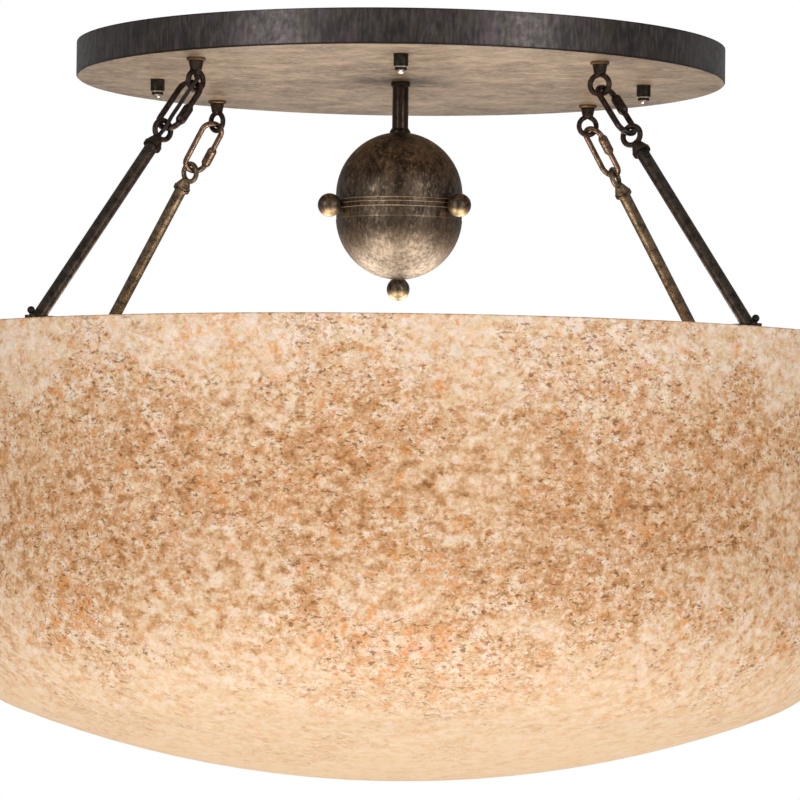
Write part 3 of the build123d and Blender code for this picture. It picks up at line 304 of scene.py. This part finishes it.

# %% [markdown]
# The layers go on from the bottom up: dark and mid brown, rubbed specks, green and rust stains, and
# then the painted reflection on the lower half, the painted highlights under the knobs and the finial, and
# the golden ridges.

# %% Ball patina
def ball_patina():
    """Mottled and streaked bronze with a painted reflection below, painted highlights under the knobs and
    finial, and golden ridges on the band.
    """
    material, tree = new_material("spun brass, mottled antique patina")
    streaky = shaken(tree, place(tree, (1, 1, 0.38), 6), 12, 4)
    broad = noise(tree, streaky, 11, detail=6, roughness=0.72)
    small = noise(tree, shaken(tree, place(tree, (1, 1, 0.6), 9), 4, 2), 3.2, detail=4, roughness=0.7)
    colour = mix(tree, spread(tree, broad, 0.36, 0.64), srgb("#241C17"), srgb("#5E5144"))
    colour = mix(tree, spread(tree, small, 0.48, 0.68, 0, 0.6), colour, srgb("#8E7E6C"))
    green = noise(tree, place(tree, (1, 1, 0.5), 14), 10, detail=5, roughness=0.7)
    colour = mix(tree, spread(tree, green, 0.58, 0.72, 0, 0.5), colour, srgb("#63614A"))
    rust = noise(tree, place(tree, (1, 1, 0.5), 21), 8, detail=5, roughness=0.7)
    colour = mix(tree, spread(tree, rust, 0.6, 0.74, 0, 0.35), colour, srgb("#70462C"))
    level = height_mm(tree)
    reach = radius_mm(tree)
    within = calc(tree, "LESS_THAN", reach, SHELL_REACH_MM)
    shell = calc(tree, "MULTIPLY", within, calc(tree, "GREATER_THAN", level, SHELL_BOTTOM_MM))
    uneven = calc(tree, "ADD", level, spread(tree, broad, 0.3, 0.7, -10, 10))
    # Painted reflection: the lower half of the shells is painted paler, standing for the lit bowl below,
    # and is also made rougher.
    lit_lower_half = calc(tree, "MULTIPLY", spread(tree, uneven, *LIT_LOWER_HALF_MM), shell)
    lit_lower_half = calc(tree, "MULTIPLY", lit_lower_half, spread(tree, small, 0.34, 0.6, 0.3, 0.9))
    lit_lower_half = calc(tree, "MULTIPLY", lit_lower_half, spread(tree, green, 0.66, 0.52, 0.45, 1))
    colour = mix(tree, lit_lower_half, colour, srgb("#A39482"))
    # Painted highlight: the knobs and the finial are brightened underneath, where they catch the light from
    # the bowl.
    knob_highlight = calc(tree, "MULTIPLY", underside_highlights(tree, level, reach), 0.75)
    colour = mix(tree, knob_highlight, colour, srgb("#C9B087"))
    golden = calc(tree, "MULTIPLY", ridge_lines(tree, level, shell), 0.7)
    colour = mix(tree, golden, colour, srgb("#B39C7E"))
    uneven_gloss = spread(tree, small, 0.3, 0.72, 0.5, 0.38)
    finish_material(tree, {
        "Base Color": colour, "Metallic": spread(tree, lit_lower_half, 0, 1, 0.85, 0.6),
        "Roughness": calc(tree, "ADD", uneven_gloss, calc(tree, "MULTIPLY", lit_lower_half, 0.12)),
        "Normal": bump(tree, small, 0.05),
    })
    return material


BALL = ball_patina()
print("ball material:", BALL.name)

# %% [markdown]
# ## The drum
# The drum is spun steel with a bronze lacquer that was sponged on, so its mottling is softer than the
# patina of the brass. The side wall is painted darker, as painted shade, with upright brush marks and
# nearly black edges. The underside is painted lighter and tan, as painted light from the lit bowl below,
# with tan, grey and pinkish clouds, and a painted shadow darkens it round the stem. The direction that
# the surface faces tells the two apart.

# %% Drum lacquer
WALL_BOTTOM_MM = (-31.6, -32.6)
WALL_TOP_MM = (-1.6, -0.6)
# Radii in mm where the painted shadow round the stem starts and where it is full.
STEM_SHADOW_MM = (75, 12)
FACING_DOWN = (-0.995, -0.95)  # z of the surface's normal where it is all underside, and all wall


def shaded_drum_wall(tree, broad):
    """Lacquer painted dark as shade, with olive and plum patches, upright brush marks and nearly black
    edges.
    """
    patch = noise(tree, place(tree, (1, 1, 0.5), 19), 16, detail=5, roughness=0.65)
    wall = mix(tree, spread(tree, broad, 0.36, 0.62), srgb("#282120"), srgb("#3F3636"))
    wall = mix(tree, spread(tree, patch, 0.5, 0.66, 0, 0.7), wall, srgb("#413B2C"))
    wall = mix(tree, spread(tree, patch, 0.5, 0.36, 0, 0.6), wall, srgb("#4D3E42"))
    upright = shaken(tree, place(tree, (1, 1, 0.2), 15), 20, 4)
    brushed = noise(tree, upright, 3.4, detail=3, roughness=0.6)
    wall = mix(tree, spread(tree, brushed, 0.46, 0.7, 0, 0.6), wall, srgb("#5C4F4A"))
    wall = mix(tree, spread(tree, brushed, 0.5, 0.3, 0, 0.6), wall, srgb("#1F1918"))
    level = height_mm(tree)
    rim = calc(tree, "MAXIMUM", spread(tree, level, *WALL_BOTTOM_MM), spread(tree, level, *WALL_TOP_MM))
    return mix(tree, calc(tree, "MULTIPLY", rim, 0.8), wall, srgb("#14100F"))


def lit_drum_underside(tree, broad, small):
    """Lacquer painted tan as lit from below, with pale, dark and pinkish clouds, and a painted shadow round
    the stem.
    """
    under = mix(tree, spread(tree, broad, 0.34, 0.66), srgb("#877764"), srgb("#B3A28C"))
    cloudy = noise(tree, place(tree, shift=27), 24, detail=6, roughness=0.72)
    under = mix(tree, spread(tree, cloudy, 0.5, 0.66, 0, 0.65), under, srgb("#D0BC9F"))
    under = mix(tree, spread(tree, cloudy, 0.5, 0.35, 0, 0.55), under, srgb("#7A6A52"))
    under = mix(tree, spread(tree, small, 0.46, 0.7, 0, 0.55), under, srgb("#CFBBA0"))
    pink = noise(tree, place(tree, shift=11), 36, detail=5, roughness=0.7)
    under = mix(tree, spread(tree, pink, 0.5, 0.64, 0, 0.4), under, srgb("#A58A80"))
    # Painted shadow: the underside is darkened round the stem, where the ball blocks the light from the
    # bowl.
    near_stem = spread(tree, radius_mm(tree), *STEM_SHADOW_MM)
    stem_shadow = calc(tree, "MULTIPLY", near_stem, spread(tree, cloudy, 0.3, 0.7, 0.7, 0.3))
    return mix(tree, stem_shadow, under, srgb("#57493E"))


def drum_lacquer():
    """Sponged bronze lacquer, with painted shade on the wall and painted light on the underside."""
    material, tree = new_material("sponged bronze lacquer on spun steel")
    where = shaken(tree, place(tree, shift=2), 30, 9)
    broad = noise(tree, where, 42, detail=6, roughness=0.62)
    small = noise(tree, where, 7, detail=4, roughness=0.68)
    facing = add(tree, "SeparateXYZ", {0: add(tree, "NewGeometry", out="Normal")}, out=2)
    down = spread(tree, facing, *FACING_DOWN, 1.0, 0.0)
    finish_material(tree, {
        # The wall gets the painted shade and the underside the painted light, picked by the way the surface
        # faces.
        "Base Color": mix(tree, down, shaded_drum_wall(tree, broad), lit_drum_underside(tree, broad, small)),
        "Metallic": 0.4, "Roughness": spread(tree, small, 0.3, 0.7, 0.48, 0.34),
        "Normal": bump(tree, small, 0.05),
    })
    return material


DRUM = drum_lacquer()
print("drum material:", DRUM.name)

# %% [markdown]
# ## The bowl
# The bowl is cast resin filled with crushed stone, mica flakes and brown pigment, made to look like
# alabaster. A single texture could not show all of that, so it is built in layers, from the resin up.
# First a tone: five noises, from grains of 3 mm to clouds of 150 mm, are added up, and a colour ramp
# turns low tones into brown and high tones into pale flakes. Then come tinted flakes, broken brown
# lines between grains, orange veins and blots, and short brown slivers.
#
# The pigment isn't spread evenly. It lies in clouds and in a wide belt at half height, and a few more
# clouds are placed where the photographed bowl is browner or more orange.

# %% Layers of stone: sums, spots and pigment
BROWN_CLOUDS = (  # the middle of each cloud and its reach, in metres
    ((-0.25, -0.41, -0.42), 0.15), ((0.21, -0.43, -0.445), 0.17),
    ((0.31, -0.36, -0.385), 0.09), ((-0.03, -0.48, -0.43), 0.14),
)
ORANGE_CLOUDS = (
    ((0.0, -0.43, -0.57), 0.13), ((-0.16, -0.45, -0.315), 0.07), ((-0.30, -0.36, -0.56), 0.08),
)
CLOUD_CORE = 0.1  # the share of a cloud's reach that is fully dense
BELT_FROM_BELOW_MM = (-670, -500)
BELT_FROM_ABOVE_MM = (-300, -430)


def ramp(tree, value, stops):
    """A colour ramp with sRGB stops at given values from 0 to 1."""
    made = add(tree, "ValToRGB", {"Fac": value}).node
    elements = made.color_ramp.elements
    while len(elements) < len(stops):
        elements.new(0.5)
    for element, (position, colour) in zip(elements, stops):
        element.position = position
        element.color = srgb(colour)
    return made.outputs["Color"]


def total(tree, *parts):
    """A weighted sum of noises, each taken about its middle of one half."""
    result = 0.5
    for value, weight in parts:
        centred = calc(tree, "SUBTRACT", value, 0.5)
        result = calc(tree, "ADD", result, calc(tree, "MULTIPLY", centred, weight))
    return result


def spot(tree, centre, reach):
    """One near a point of the frame, in metres, and falling to zero at its reach."""
    here = shaken(tree, place(tree), 70, 30)
    away = add(tree, "VectorMath", {0: here, 1: centre}, out="Value", operation="DISTANCE")
    return spread(tree, away, reach, reach * CLOUD_CORE)


def belt_share(tree, level):
    """One in the wide belt at half height, where the pigment is made denser and the tone lower."""
    return calc(tree, "MULTIPLY", spread(tree, level, *BELT_FROM_BELOW_MM),
                spread(tree, level, *BELT_FROM_ABOVE_MM))


def pigment(tree, cloud, patch, belt):
    """How dense the pigment lies, from 0 to 1."""
    dense = total(tree, (cloud, 1.1), (patch, 0.9))
    for centre, reach in BROWN_CLOUDS:
        dense = calc(tree, "ADD", dense, calc(tree, "MULTIPLY", spot(tree, centre, reach), 0.17))
    dense = calc(tree, "ADD", dense, calc(tree, "MULTIPLY", belt, 0.1))
    return spread(tree, dense, 0.38, 0.74)


print("clouds placed by hand:", len(BROWN_CLOUDS), "brown and", len(ORANGE_CLOUDS), "orange")

# %% [markdown]
# Each layer takes the colour so far and returns it with its own marks on top. The first number of a
# tint is the colour channel of one noise: its channels are unrelated, so one noise feeds four tints.

# %% Layers of stone: flakes, joints, veins and slivers
STONE_STOPS = (
    (0.03, "#8A5A30"), (0.2, "#C4966A"), (0.32, "#DDB994"), (0.44, "#EBD2B6"), (0.58, "#F3DFCC"),
    (0.8, "#F8ECE4"),
)
FLAKE_TINTS = (  # channel, where the tint starts and is full, its share and its colour
    (0, 0.53, 0.66, 0.6, "#ECD2C8"), (1, 0.53, 0.66, 0.65, "#E4DAC8"),
    (2, 0.54, 0.68, 0.55, "#EEB988"), (0, 0.46, 0.36, 0.5, "#D8BE8C"),
)
JOINTS = ((12, 0.10, 3, "#B87B42"), (7, 0.14, 9, "#A87446"))  # grain size, line width, shift and colour
SLIVERS = ((37, 0.6, 0.72, "#6B3B10"), (41, 0.61, 0.6, "#8A6E28"), (53, 0.63, 0.6, "#A8581E"))
FLAKE_MM = 12
SLIVER_MM = 6


def tinted_flakes(tree, colour, tone):
    """Pale flakes tinted pink, grey, orange and ochre, as crushed stone is of several colours."""
    hue = three_noises(tree, shaken(tree, place(tree, (1, 1, 1.3), 17), 10, 5), FLAKE_MM)
    hues = add(tree, "SeparateColor", {0: hue}).node.outputs
    light = spread(tree, tone, 0.22, 0.5)
    for channel, low, high, share, shade in FLAKE_TINTS:
        amount = calc(tree, "MULTIPLY", spread(tree, hues[channel], low, high, 0, share), light)
        colour = mix(tree, amount, colour, srgb(shade))
    return colour


def brown_joints(tree, colour, dense):
    """Broken brown lines between bent cells, like the joints between grains."""
    broken = spread(tree, noise(tree, place(tree, shift=13), 8, detail=3), 0.42, 0.6)
    for size, width, shift, shade in JOINTS:
        drawn_out = place(tree, (1, 1, 1.6), shift)
        bent = shaken(tree, shaken(tree, drawn_out, 0.9 * size, 0.45 * size), 4, 1.6)
        gap = spread(tree, cells(tree, bent, size, feature="DISTANCE_TO_EDGE"), width, 0.01)
        gap = calc(tree, "MULTIPLY", gap, broken)
        gap = calc(tree, "MULTIPLY", gap, spread(tree, dense, 0.0, 0.9, 0.35, 1))
        colour = mix(tree, calc(tree, "MULTIPLY", gap, 0.5), colour, srgb(shade))
    return colour


def orange_stains(tree, colour, dense, grain, fine):
    """Thin orange veins where a noise crosses its middle, and orange blots."""
    winding = noise(tree, shaken(tree, place(tree), 16, 8), 17, detail=4, roughness=0.62)
    vein = calc(tree, "ABSOLUTE", calc(tree, "SUBTRACT", winding, 0.5))
    denser = spread(tree, dense, 0.2, 0.85, 0.12, 0.7)
    stain = calc(tree, "MULTIPLY", spread(tree, vein, 0.045, 0.0), denser)
    stain = calc(tree, "MULTIPLY", stain, spread(tree, grain, 0.4, 0.62, 0.4, 1))
    colour = mix(tree, stain, colour, srgb("#C87C3C"))
    blot = noise(tree, shaken(tree, place(tree, shift=31), 14, 8), 18, detail=5, roughness=0.7)
    for centre, reach in ORANGE_CLOUDS:
        blot = calc(tree, "ADD", blot, calc(tree, "MULTIPLY", spot(tree, centre, reach), 0.07))
    speckled = spread(tree, fine, 0.38, 0.6, 1, 0.45)
    blot = calc(tree, "MULTIPLY", spread(tree, blot, 0.555, 0.68, 0, 0.85), speckled)
    return mix(tree, blot, colour, srgb("#DC8E44"))


def brown_slivers(tree, colour, dense):
    """Short slivers of brown pigment, mostly where it lies dense."""
    for shift, low, share, shade in SLIVERS:
        where = shaken(tree, place(tree, (1, 1, 1.7), shift), 8, 4)
        sliver = noise(tree, where, SLIVER_MM, detail=2, roughness=0.5)
        denser = spread(tree, dense, 0.1, 0.8, 0.15, 1)
        sliver = calc(tree, "MULTIPLY", spread(tree, sliver, low, low + 0.07), denser)
        colour = mix(tree, calc(tree, "MULTIPLY", sliver, share), colour, srgb(shade))
    return colour


# %% [markdown]
# Near the bottom the pigment thins out and the lamps inside shine through, so the wall looks peach
# there. Light that travels inside the wall would be slow to render, so the wall gives off a little
# light of its own colour instead, more on the outer face and most near the bottom. The top edge of
# the rim is darkened with painted shade.

# %% Alabaster-pattern resin
PALE_BOTTOM_MM = (-560, -715)
RIM_TOP_SHADE_MM = (-296.4, -295.4)
GLOW_MM = (-500, -700)
FROM_OVER_THE_BOWL = (0, 0, 0.2)  # makes a place the way there from the axis, 0.2 m below the ceiling


def wall_glow(tree, level):
    """How strongly the lamps shine through the wall: most near the bottom, and more outside."""
    here = add(tree, "TexCoord", out="Object")
    way = add(tree, "VectorMath", {0: here, 1: FROM_OVER_THE_BOWL}, operation="ADD")
    normal = add(tree, "NewGeometry", out="Normal")
    outward = add(tree, "VectorMath", {0: way, 1: normal}, out="Value", operation="DOT_PRODUCT")
    outer = calc(tree, "GREATER_THAN", outward, 0.0)
    lower = spread(tree, level, *GLOW_MM, 0.12, 0.5)
    return calc(tree, "MULTIPLY", lower, spread(tree, outer, 0, 1, 0.25, 1))


def alabaster():
    """Speckled stone-like resin with stains, slivers, a glow from the lamps and painted shade on the rim's
    top edge.
    """
    material, tree = new_material("cast resin with crushed stone and brown pigment")
    level = height_mm(tree)
    cloud = noise(tree, shaken(tree, place(tree, (1, 1, 1.5), 5), 90, 40), 150, detail=4, roughness=0.6)
    patch = noise(tree, shaken(tree, place(tree, shift=8), 30, 10), 38, detail=4, roughness=0.6)
    flake = noise(tree, shaken(tree, place(tree, (1, 1, 1.3), 3), 12, 5), 13, detail=3, roughness=0.5)
    grain = noise(tree, shaken(tree, place(tree, (1, 1, 1.3)), 6, 2), 6.5, detail=3, roughness=0.6)
    fine = noise(tree, place(tree, shift=11), 3.2, detail=2, roughness=0.6)
    belt = belt_share(tree, level)
    dense = pigment(tree, cloud, patch, belt)
    tone = total(tree, (grain, 0.54), (fine, 0.38), (flake, 0.8), (patch, 0.35), (cloud, 0.4))
    tone = calc(tree, "SUBTRACT", tone, calc(tree, "MULTIPLY", belt, 0.12))
    tone = calc(tree, "SUBTRACT", tone, calc(tree, "MULTIPLY", dense, 0.1))
    colour = ramp(tree, tone, STONE_STOPS)
    colour = tinted_flakes(tree, colour, tone)
    colour = brown_joints(tree, colour, dense)
    colour = orange_stains(tree, colour, dense, grain, fine)
    colour = brown_slivers(tree, colour, dense)
    pale = calc(tree, "MULTIPLY", spread(tree, level, *PALE_BOTTOM_MM), 0.5)
    colour = mix(tree, pale, colour, srgb("#FDE6C6"))
    uneven = spread(tree, grain, 0.3, 0.6, 0.9, 0.4)
    # Painted shade darkens the top edge of the rim.
    rim_top_shade = calc(tree, "MULTIPLY", spread(tree, level, *RIM_TOP_SHADE_MM), uneven)
    colour = mix(tree, rim_top_shade, colour, srgb("#7E5E48"))
    finish_material(tree, {
        "Base Color": colour, "Roughness": spread(tree, grain, 0.3, 0.7, 0.6, 0.46), "IOR": 1.5,
        "Specular IOR Level": 0.35, "Normal": bump(tree, tone, 0.08, 0.4),
        "Emission Color": mix(tree, 1.0, colour, srgb("#FFE9CC"), "MULTIPLY"),
        "Emission Strength": wall_glow(tree, level),
    })
    return material


BOWL = alabaster()
print("bowl material:", BOWL.name)

# %% [markdown]
# ## Small and hidden pieces
# The stud tips are nickel plated, the fixings above the drum and inside the bowl are zinc plated,
# the lampholders are glazed porcelain and the lamps are opal glass with a brass cap. The cord has a
# dark sheath, and its connector is moulded nylon.

# %% Plated steel
def plated(name, dark, light, spangle_mm, roughness, shift=0.0):
    """Plated steel: crystals of slightly different grey, with fine scratches."""
    material, tree = new_material(name)
    uneven = shaken(tree, place(tree, shift=shift), spangle_mm, spangle_mm * 0.3)
    crystal = add(tree, "SeparateColor", {0: cells(tree, uneven, spangle_mm, out="Color")})
    scratch = noise(tree, place(tree, (1, 12, 12), shift), 6, detail=3)
    colour = mix(tree, crystal, srgb(dark), srgb(light))
    finish_material(tree, {
        "Base Color": mix(tree, spread(tree, scratch, 0.55, 0.7, 0, 0.3), colour, srgb(dark)),
        "Metallic": 1.0, "Roughness": spread(tree, scratch, 0.3, 0.7, roughness, roughness + 0.15),
        "Normal": bump(tree, scratch, 0.02),
    })
    return material


NICKEL = plated("nickel plated steel", "#B8A59C", "#E6D6CE", 3, 0.22, shift=1)
ZINC = plated("zinc plated steel", "#8C9092", "#B9BDBD", 9, 0.34)
print("plated materials:", [m.name for m in (NICKEL, ZINC)])

# %% [markdown]
# A glaze is a clear glassy layer over white clay, so the porcelain gets a coat over its white base.
# The lamps could be clear glass with a filament, but opal glass hides its inside, so a solid will do.

# %% Porcelain and glass
CAP_LEVEL_MM = (-352.4, -351.6)  # where the lamp's glass ends and its cap starts
THREAD_PITCH_MM = 3.6


def glazed():
    """White porcelain under a clear glaze, a little uneven and with a few specks."""
    material, tree = new_material("glazed porcelain")
    wave = noise(tree, place(tree), 18, detail=2)
    speck = spread(tree, noise(tree, place(tree, shift=3), 1.6, detail=1), 0.74, 0.8, 0, 0.5)
    colour = mix(tree, wave, srgb("#EAE4D8"), srgb("#F4F0E8"))
    finish_material(tree, {
        "Base Color": mix(tree, speck, colour, srgb("#A89C86")),
        "Roughness": spread(tree, wave, 0.3, 0.7, 0.12, 0.2), "IOR": 1.5,
        "Coat Weight": 0.6, "Coat Roughness": 0.06, "Normal": bump(tree, wave, 0.08),
    })
    return material


def opal_lamp():
    """Opal glass that is faintly lit, below a brass cap whose thread is drawn as a bump."""
    material, tree = new_material("opal glass lamp with a brass cap")
    level = height_mm(tree)
    cap = spread(tree, level, *CAP_LEVEL_MM)
    turn = calc(tree, "FRACT", calc(tree, "DIVIDE", level, THREAD_PITCH_MM))
    thread = calc(tree, "PINGPONG", turn, 0.5)
    wave = noise(tree, place(tree), 22, detail=2)
    glass = mix(tree, wave, srgb("#F3EAD8"), srgb("#FBF5EA"))
    finish_material(tree, {
        "Base Color": mix(tree, cap, glass, srgb("#C9A25C")), "Metallic": cap,
        "Roughness": spread(tree, wave, 0.3, 0.7, 0.22, 0.32), "IOR": 1.5,
        "Normal": bump(tree, calc(tree, "MULTIPLY", thread, cap), 0.8),
        "Emission Color": srgb("#FFD9A0"), "Emission Strength": spread(tree, cap, 0, 1, 0.5, 0),
    })
    return material


PORCELAIN = glazed()
OPAL = opal_lamp()
print("holder and lamp materials:", [m.name for m in (PORCELAIN, OPAL)])

# %% [markdown]
# The cord's sheath is extruded and the connector is moulded. Both are plastic with a fine grain and
# a slightly uneven colour, and both are small, so one maker serves them.

# %% Plastics
def moulded(name, dark, light, roughness, grain_mm):
    """Plastic with a fine grain."""
    material, tree = new_material(name)
    tone = noise(tree, place(tree), 12, detail=3)
    grain = noise(tree, place(tree, shift=2), grain_mm, detail=2)
    finish_material(tree, {
        "Base Color": mix(tree, tone, srgb(dark), srgb(light)),
        "Roughness": spread(tree, tone, 0.3, 0.7, roughness, roughness + 0.12), "IOR": 1.5,
        "Normal": bump(tree, grain, 0.04),
    })
    return material


CORD = moulded("dark brown cord sheath", "#150F0D", "#241A16", 0.55, 0.8)
NYLON = moulded("moulded nylon", "#A4541F", "#C06A30", 0.4, 1.2)
print("plastic materials:", [m.name for m in (CORD, NYLON)])

# %% [markdown]
# ## Give each piece its finish
# The record names a material slot for every CAD piece, and most slots have one finish here. The stem
# is smoother than the castings, and the links and rods at the back are painted brighter, as painted light
# from the lamps in the bowl, so these get finishes of their own.
#
# A small bevel rounds what it can find on the bowl, the ball's band, the knobs, the finial and the
# knob screws. The meshes of the other pieces come split along their sharp edges, where a bevel finds
# nothing to round, so they have none and their edges stay sharp.

# %% Finishes and soft edges
FINISHES = {
    "canopy_bronze": DRUM, "cast_bronze": CAST, "link_bronze": LINK, "rod_bronze": ROD, "ball_bronze": BALL,
    "nut_bronze": NUT, "nickel_steel": NICKEL, "zinc_steel": ZINC, "bowl_resin": BOWL,
    "porcelain": PORCELAIN, "lamp_opal": OPAL, "cord_pvc": CORD, "connector_nylon": NYLON,
}
OWN_FINISH = {"stem_tube": STEM, "stem_collar": STEM, "stem_foot_ring": STEM}
# The pieces at the back get the lighter copies, painted as lit by the lamps in the bowl.
for side in ("left", "right"):
    OWN_FINISH["quick_link_back_" + side] = LIT_LINK_BACK
    OWN_FINISH["link_sleeve_back_" + side] = LIT_LINK_BACK
    OWN_FINISH["rod_back_" + side] = LIT_ROD_BACK
    OWN_FINISH["rod_eye_back_" + side] = LIT_ROD_BACK
SOFT_EDGES_MM = {"bowl": 0.8, "knob_screws": 0.25, "ball_band": 0.2, "finial": 0.2}
for side in ("back", "left", "right"):
    SOFT_EDGES_MM["side_knob_" + side] = 0.2
ROUNDED_FROM = radians(50)  # an edge is rounded where its faces turn by more than this

for part in frame["record"]["subparts"]:
    node = part["node"]
    slot_name = part["material_slot"]
    piece = NODES[node]
    piece.data.materials.clear()
    piece.data.materials.append(OWN_FINISH.get(node, FINISHES[slot_name]))
    if node in SOFT_EDGES_MM:
        bevel = piece.modifiers.new("soft edges", "BEVEL")
        bevel.width = SOFT_EDGES_MM[node] / MM_PER_M
        bevel.segments = 2
        bevel.limit_method = "ANGLE"
        bevel.angle_limit = ROUNDED_FROM
        bevel.harden_normals = False
print("pieces with soft edges:", sorted(SOFT_EDGES_MM))

# %% [markdown]
# ## Light
# The photograph is a studio shot on pure white. Three soft lights shine from the front: one from each
# side and one from below. Four small round lights in the bowl stand for what its lamps send up, which
# the drum's underside, the ball's lower half and the inner sides of the rods catch. They stand between
# the modelled lamps, and are wide and weak, so that the ball's highlights stay soft.

# %% Lights
def area_light(name, size, power, colour, at, towards):
    """A soft round light at a point, turned towards another."""
    data = bpy.data.lights.new(name, "AREA")
    data.shape = "DISK"
    data.size = size
    data.energy = power
    data.color = srgb(colour)[:3]
    lamp = bpy.data.objects.new(name, data)
    lamp.location = at
    lamp.rotation_mode = "QUATERNION"
    lamp.rotation_quaternion = (Vector(towards) - Vector(at)).to_track_quat("-Z", "Y")
    lamp.visible_camera = False
    bpy.context.scene.collection.objects.link(lamp)


LAMP_LIGHT_LEVEL = -0.40
LAMP_LIGHT_PLACES = ((-0.13, -0.13), (0.13, -0.13), (-0.13, 0.13), (0.13, 0.13))
LEAN_IN = 0.4  # a lamp light aims at the ceiling, at this share of its own distance from the axis

area_light("soft light left", 1.2, 30, "#FFFFFF", (-2.3, -2.6, 0.3), (0, 0, -0.4))
area_light("soft light right", 1.2, 30, "#FFFFFF", (2.3, -2.6, 0.3), (0, 0, -0.4))
area_light("soft light low", 1.6, 26, "#FFFBF4", (0, -2.6, -1.9), (0, 0, -0.5))
for number, (x, y) in enumerate(LAMP_LIGHT_PLACES, start=1):
    aim = (LEAN_IN * x, LEAN_IN * y, 0)
    area_light("lamp light " + str(number), 0.2, 0.66, "#FFFAF2", (x, y, LAMP_LIGHT_LEVEL), aim)

# %% [markdown]
# The background is the colour of the world, and there is no floor under the light. The camera sees the
# world white. Everything else sees a dimmer grey studio, and so the metals reflect grey.

# %% Background
world = bpy.data.worlds.new("white studio")
bpy.context.scene.world = world
world.use_nodes = True
sky = world.node_tree
sky.nodes.clear()
seen_by_camera = add(sky, "LightPath", out="Is Camera Ray")
shade = mix(sky, seen_by_camera, srgb("#9A9A9A"), (1, 1, 1, 1))
backdrop = add(sky, "Background", {"Color": shade, "Strength": 1.0})
sky_output = sky.nodes.new("ShaderNodeOutputWorld")
sky.links.new(backdrop, sky_output.inputs["Surface"])
print("world:", world.name)

# %% [markdown]
# ## Camera
# The camera stands 4.55 m in front of the light and 0.54 m below the ceiling, and looks slightly up
# through a long lens. The canopy's ellipse, the four eye bolts and the bowl's rim fix these numbers.
# It is also rolled by 0.7 degrees, since the photographed drum dips a little to the right.

# %% Camera from the photograph
CAMERA_PLACE = (0.0, -4.550, -0.540)
PITCH, YAW, ROLL = 0.041034, 0.00071, 0.0123
LENS_MM = 204.69
SENSOR_MM = 36

lens = bpy.data.cameras.new("long lens")
lens.lens = LENS_MM
lens.sensor_width = SENSOR_MM
lens.clip_start = 0.1
lens.clip_end = 50
camera = bpy.data.objects.new("camera", lens)
level_camera = Matrix(((cos(ROLL), -sin(ROLL), 0), (0, 0, -1), (sin(ROLL), cos(ROLL), 0)))
turned_camera = Matrix.Rotation(-YAW, 3, "Z") @ Matrix.Rotation(PITCH, 3, "X") @ level_camera
camera.matrix_world = Matrix.Translation(CAMERA_PLACE) @ turned_camera.to_4x4()
bpy.context.scene.collection.objects.link(camera)
bpy.context.scene.camera = camera
bpy.context.scene.view_settings.view_transform = "Standard"
print("camera at", tuple(camera.matrix_world.translation))

# %% [markdown]
# ## Update the scene

# %% Update the scene
bpy.context.view_layer.update()
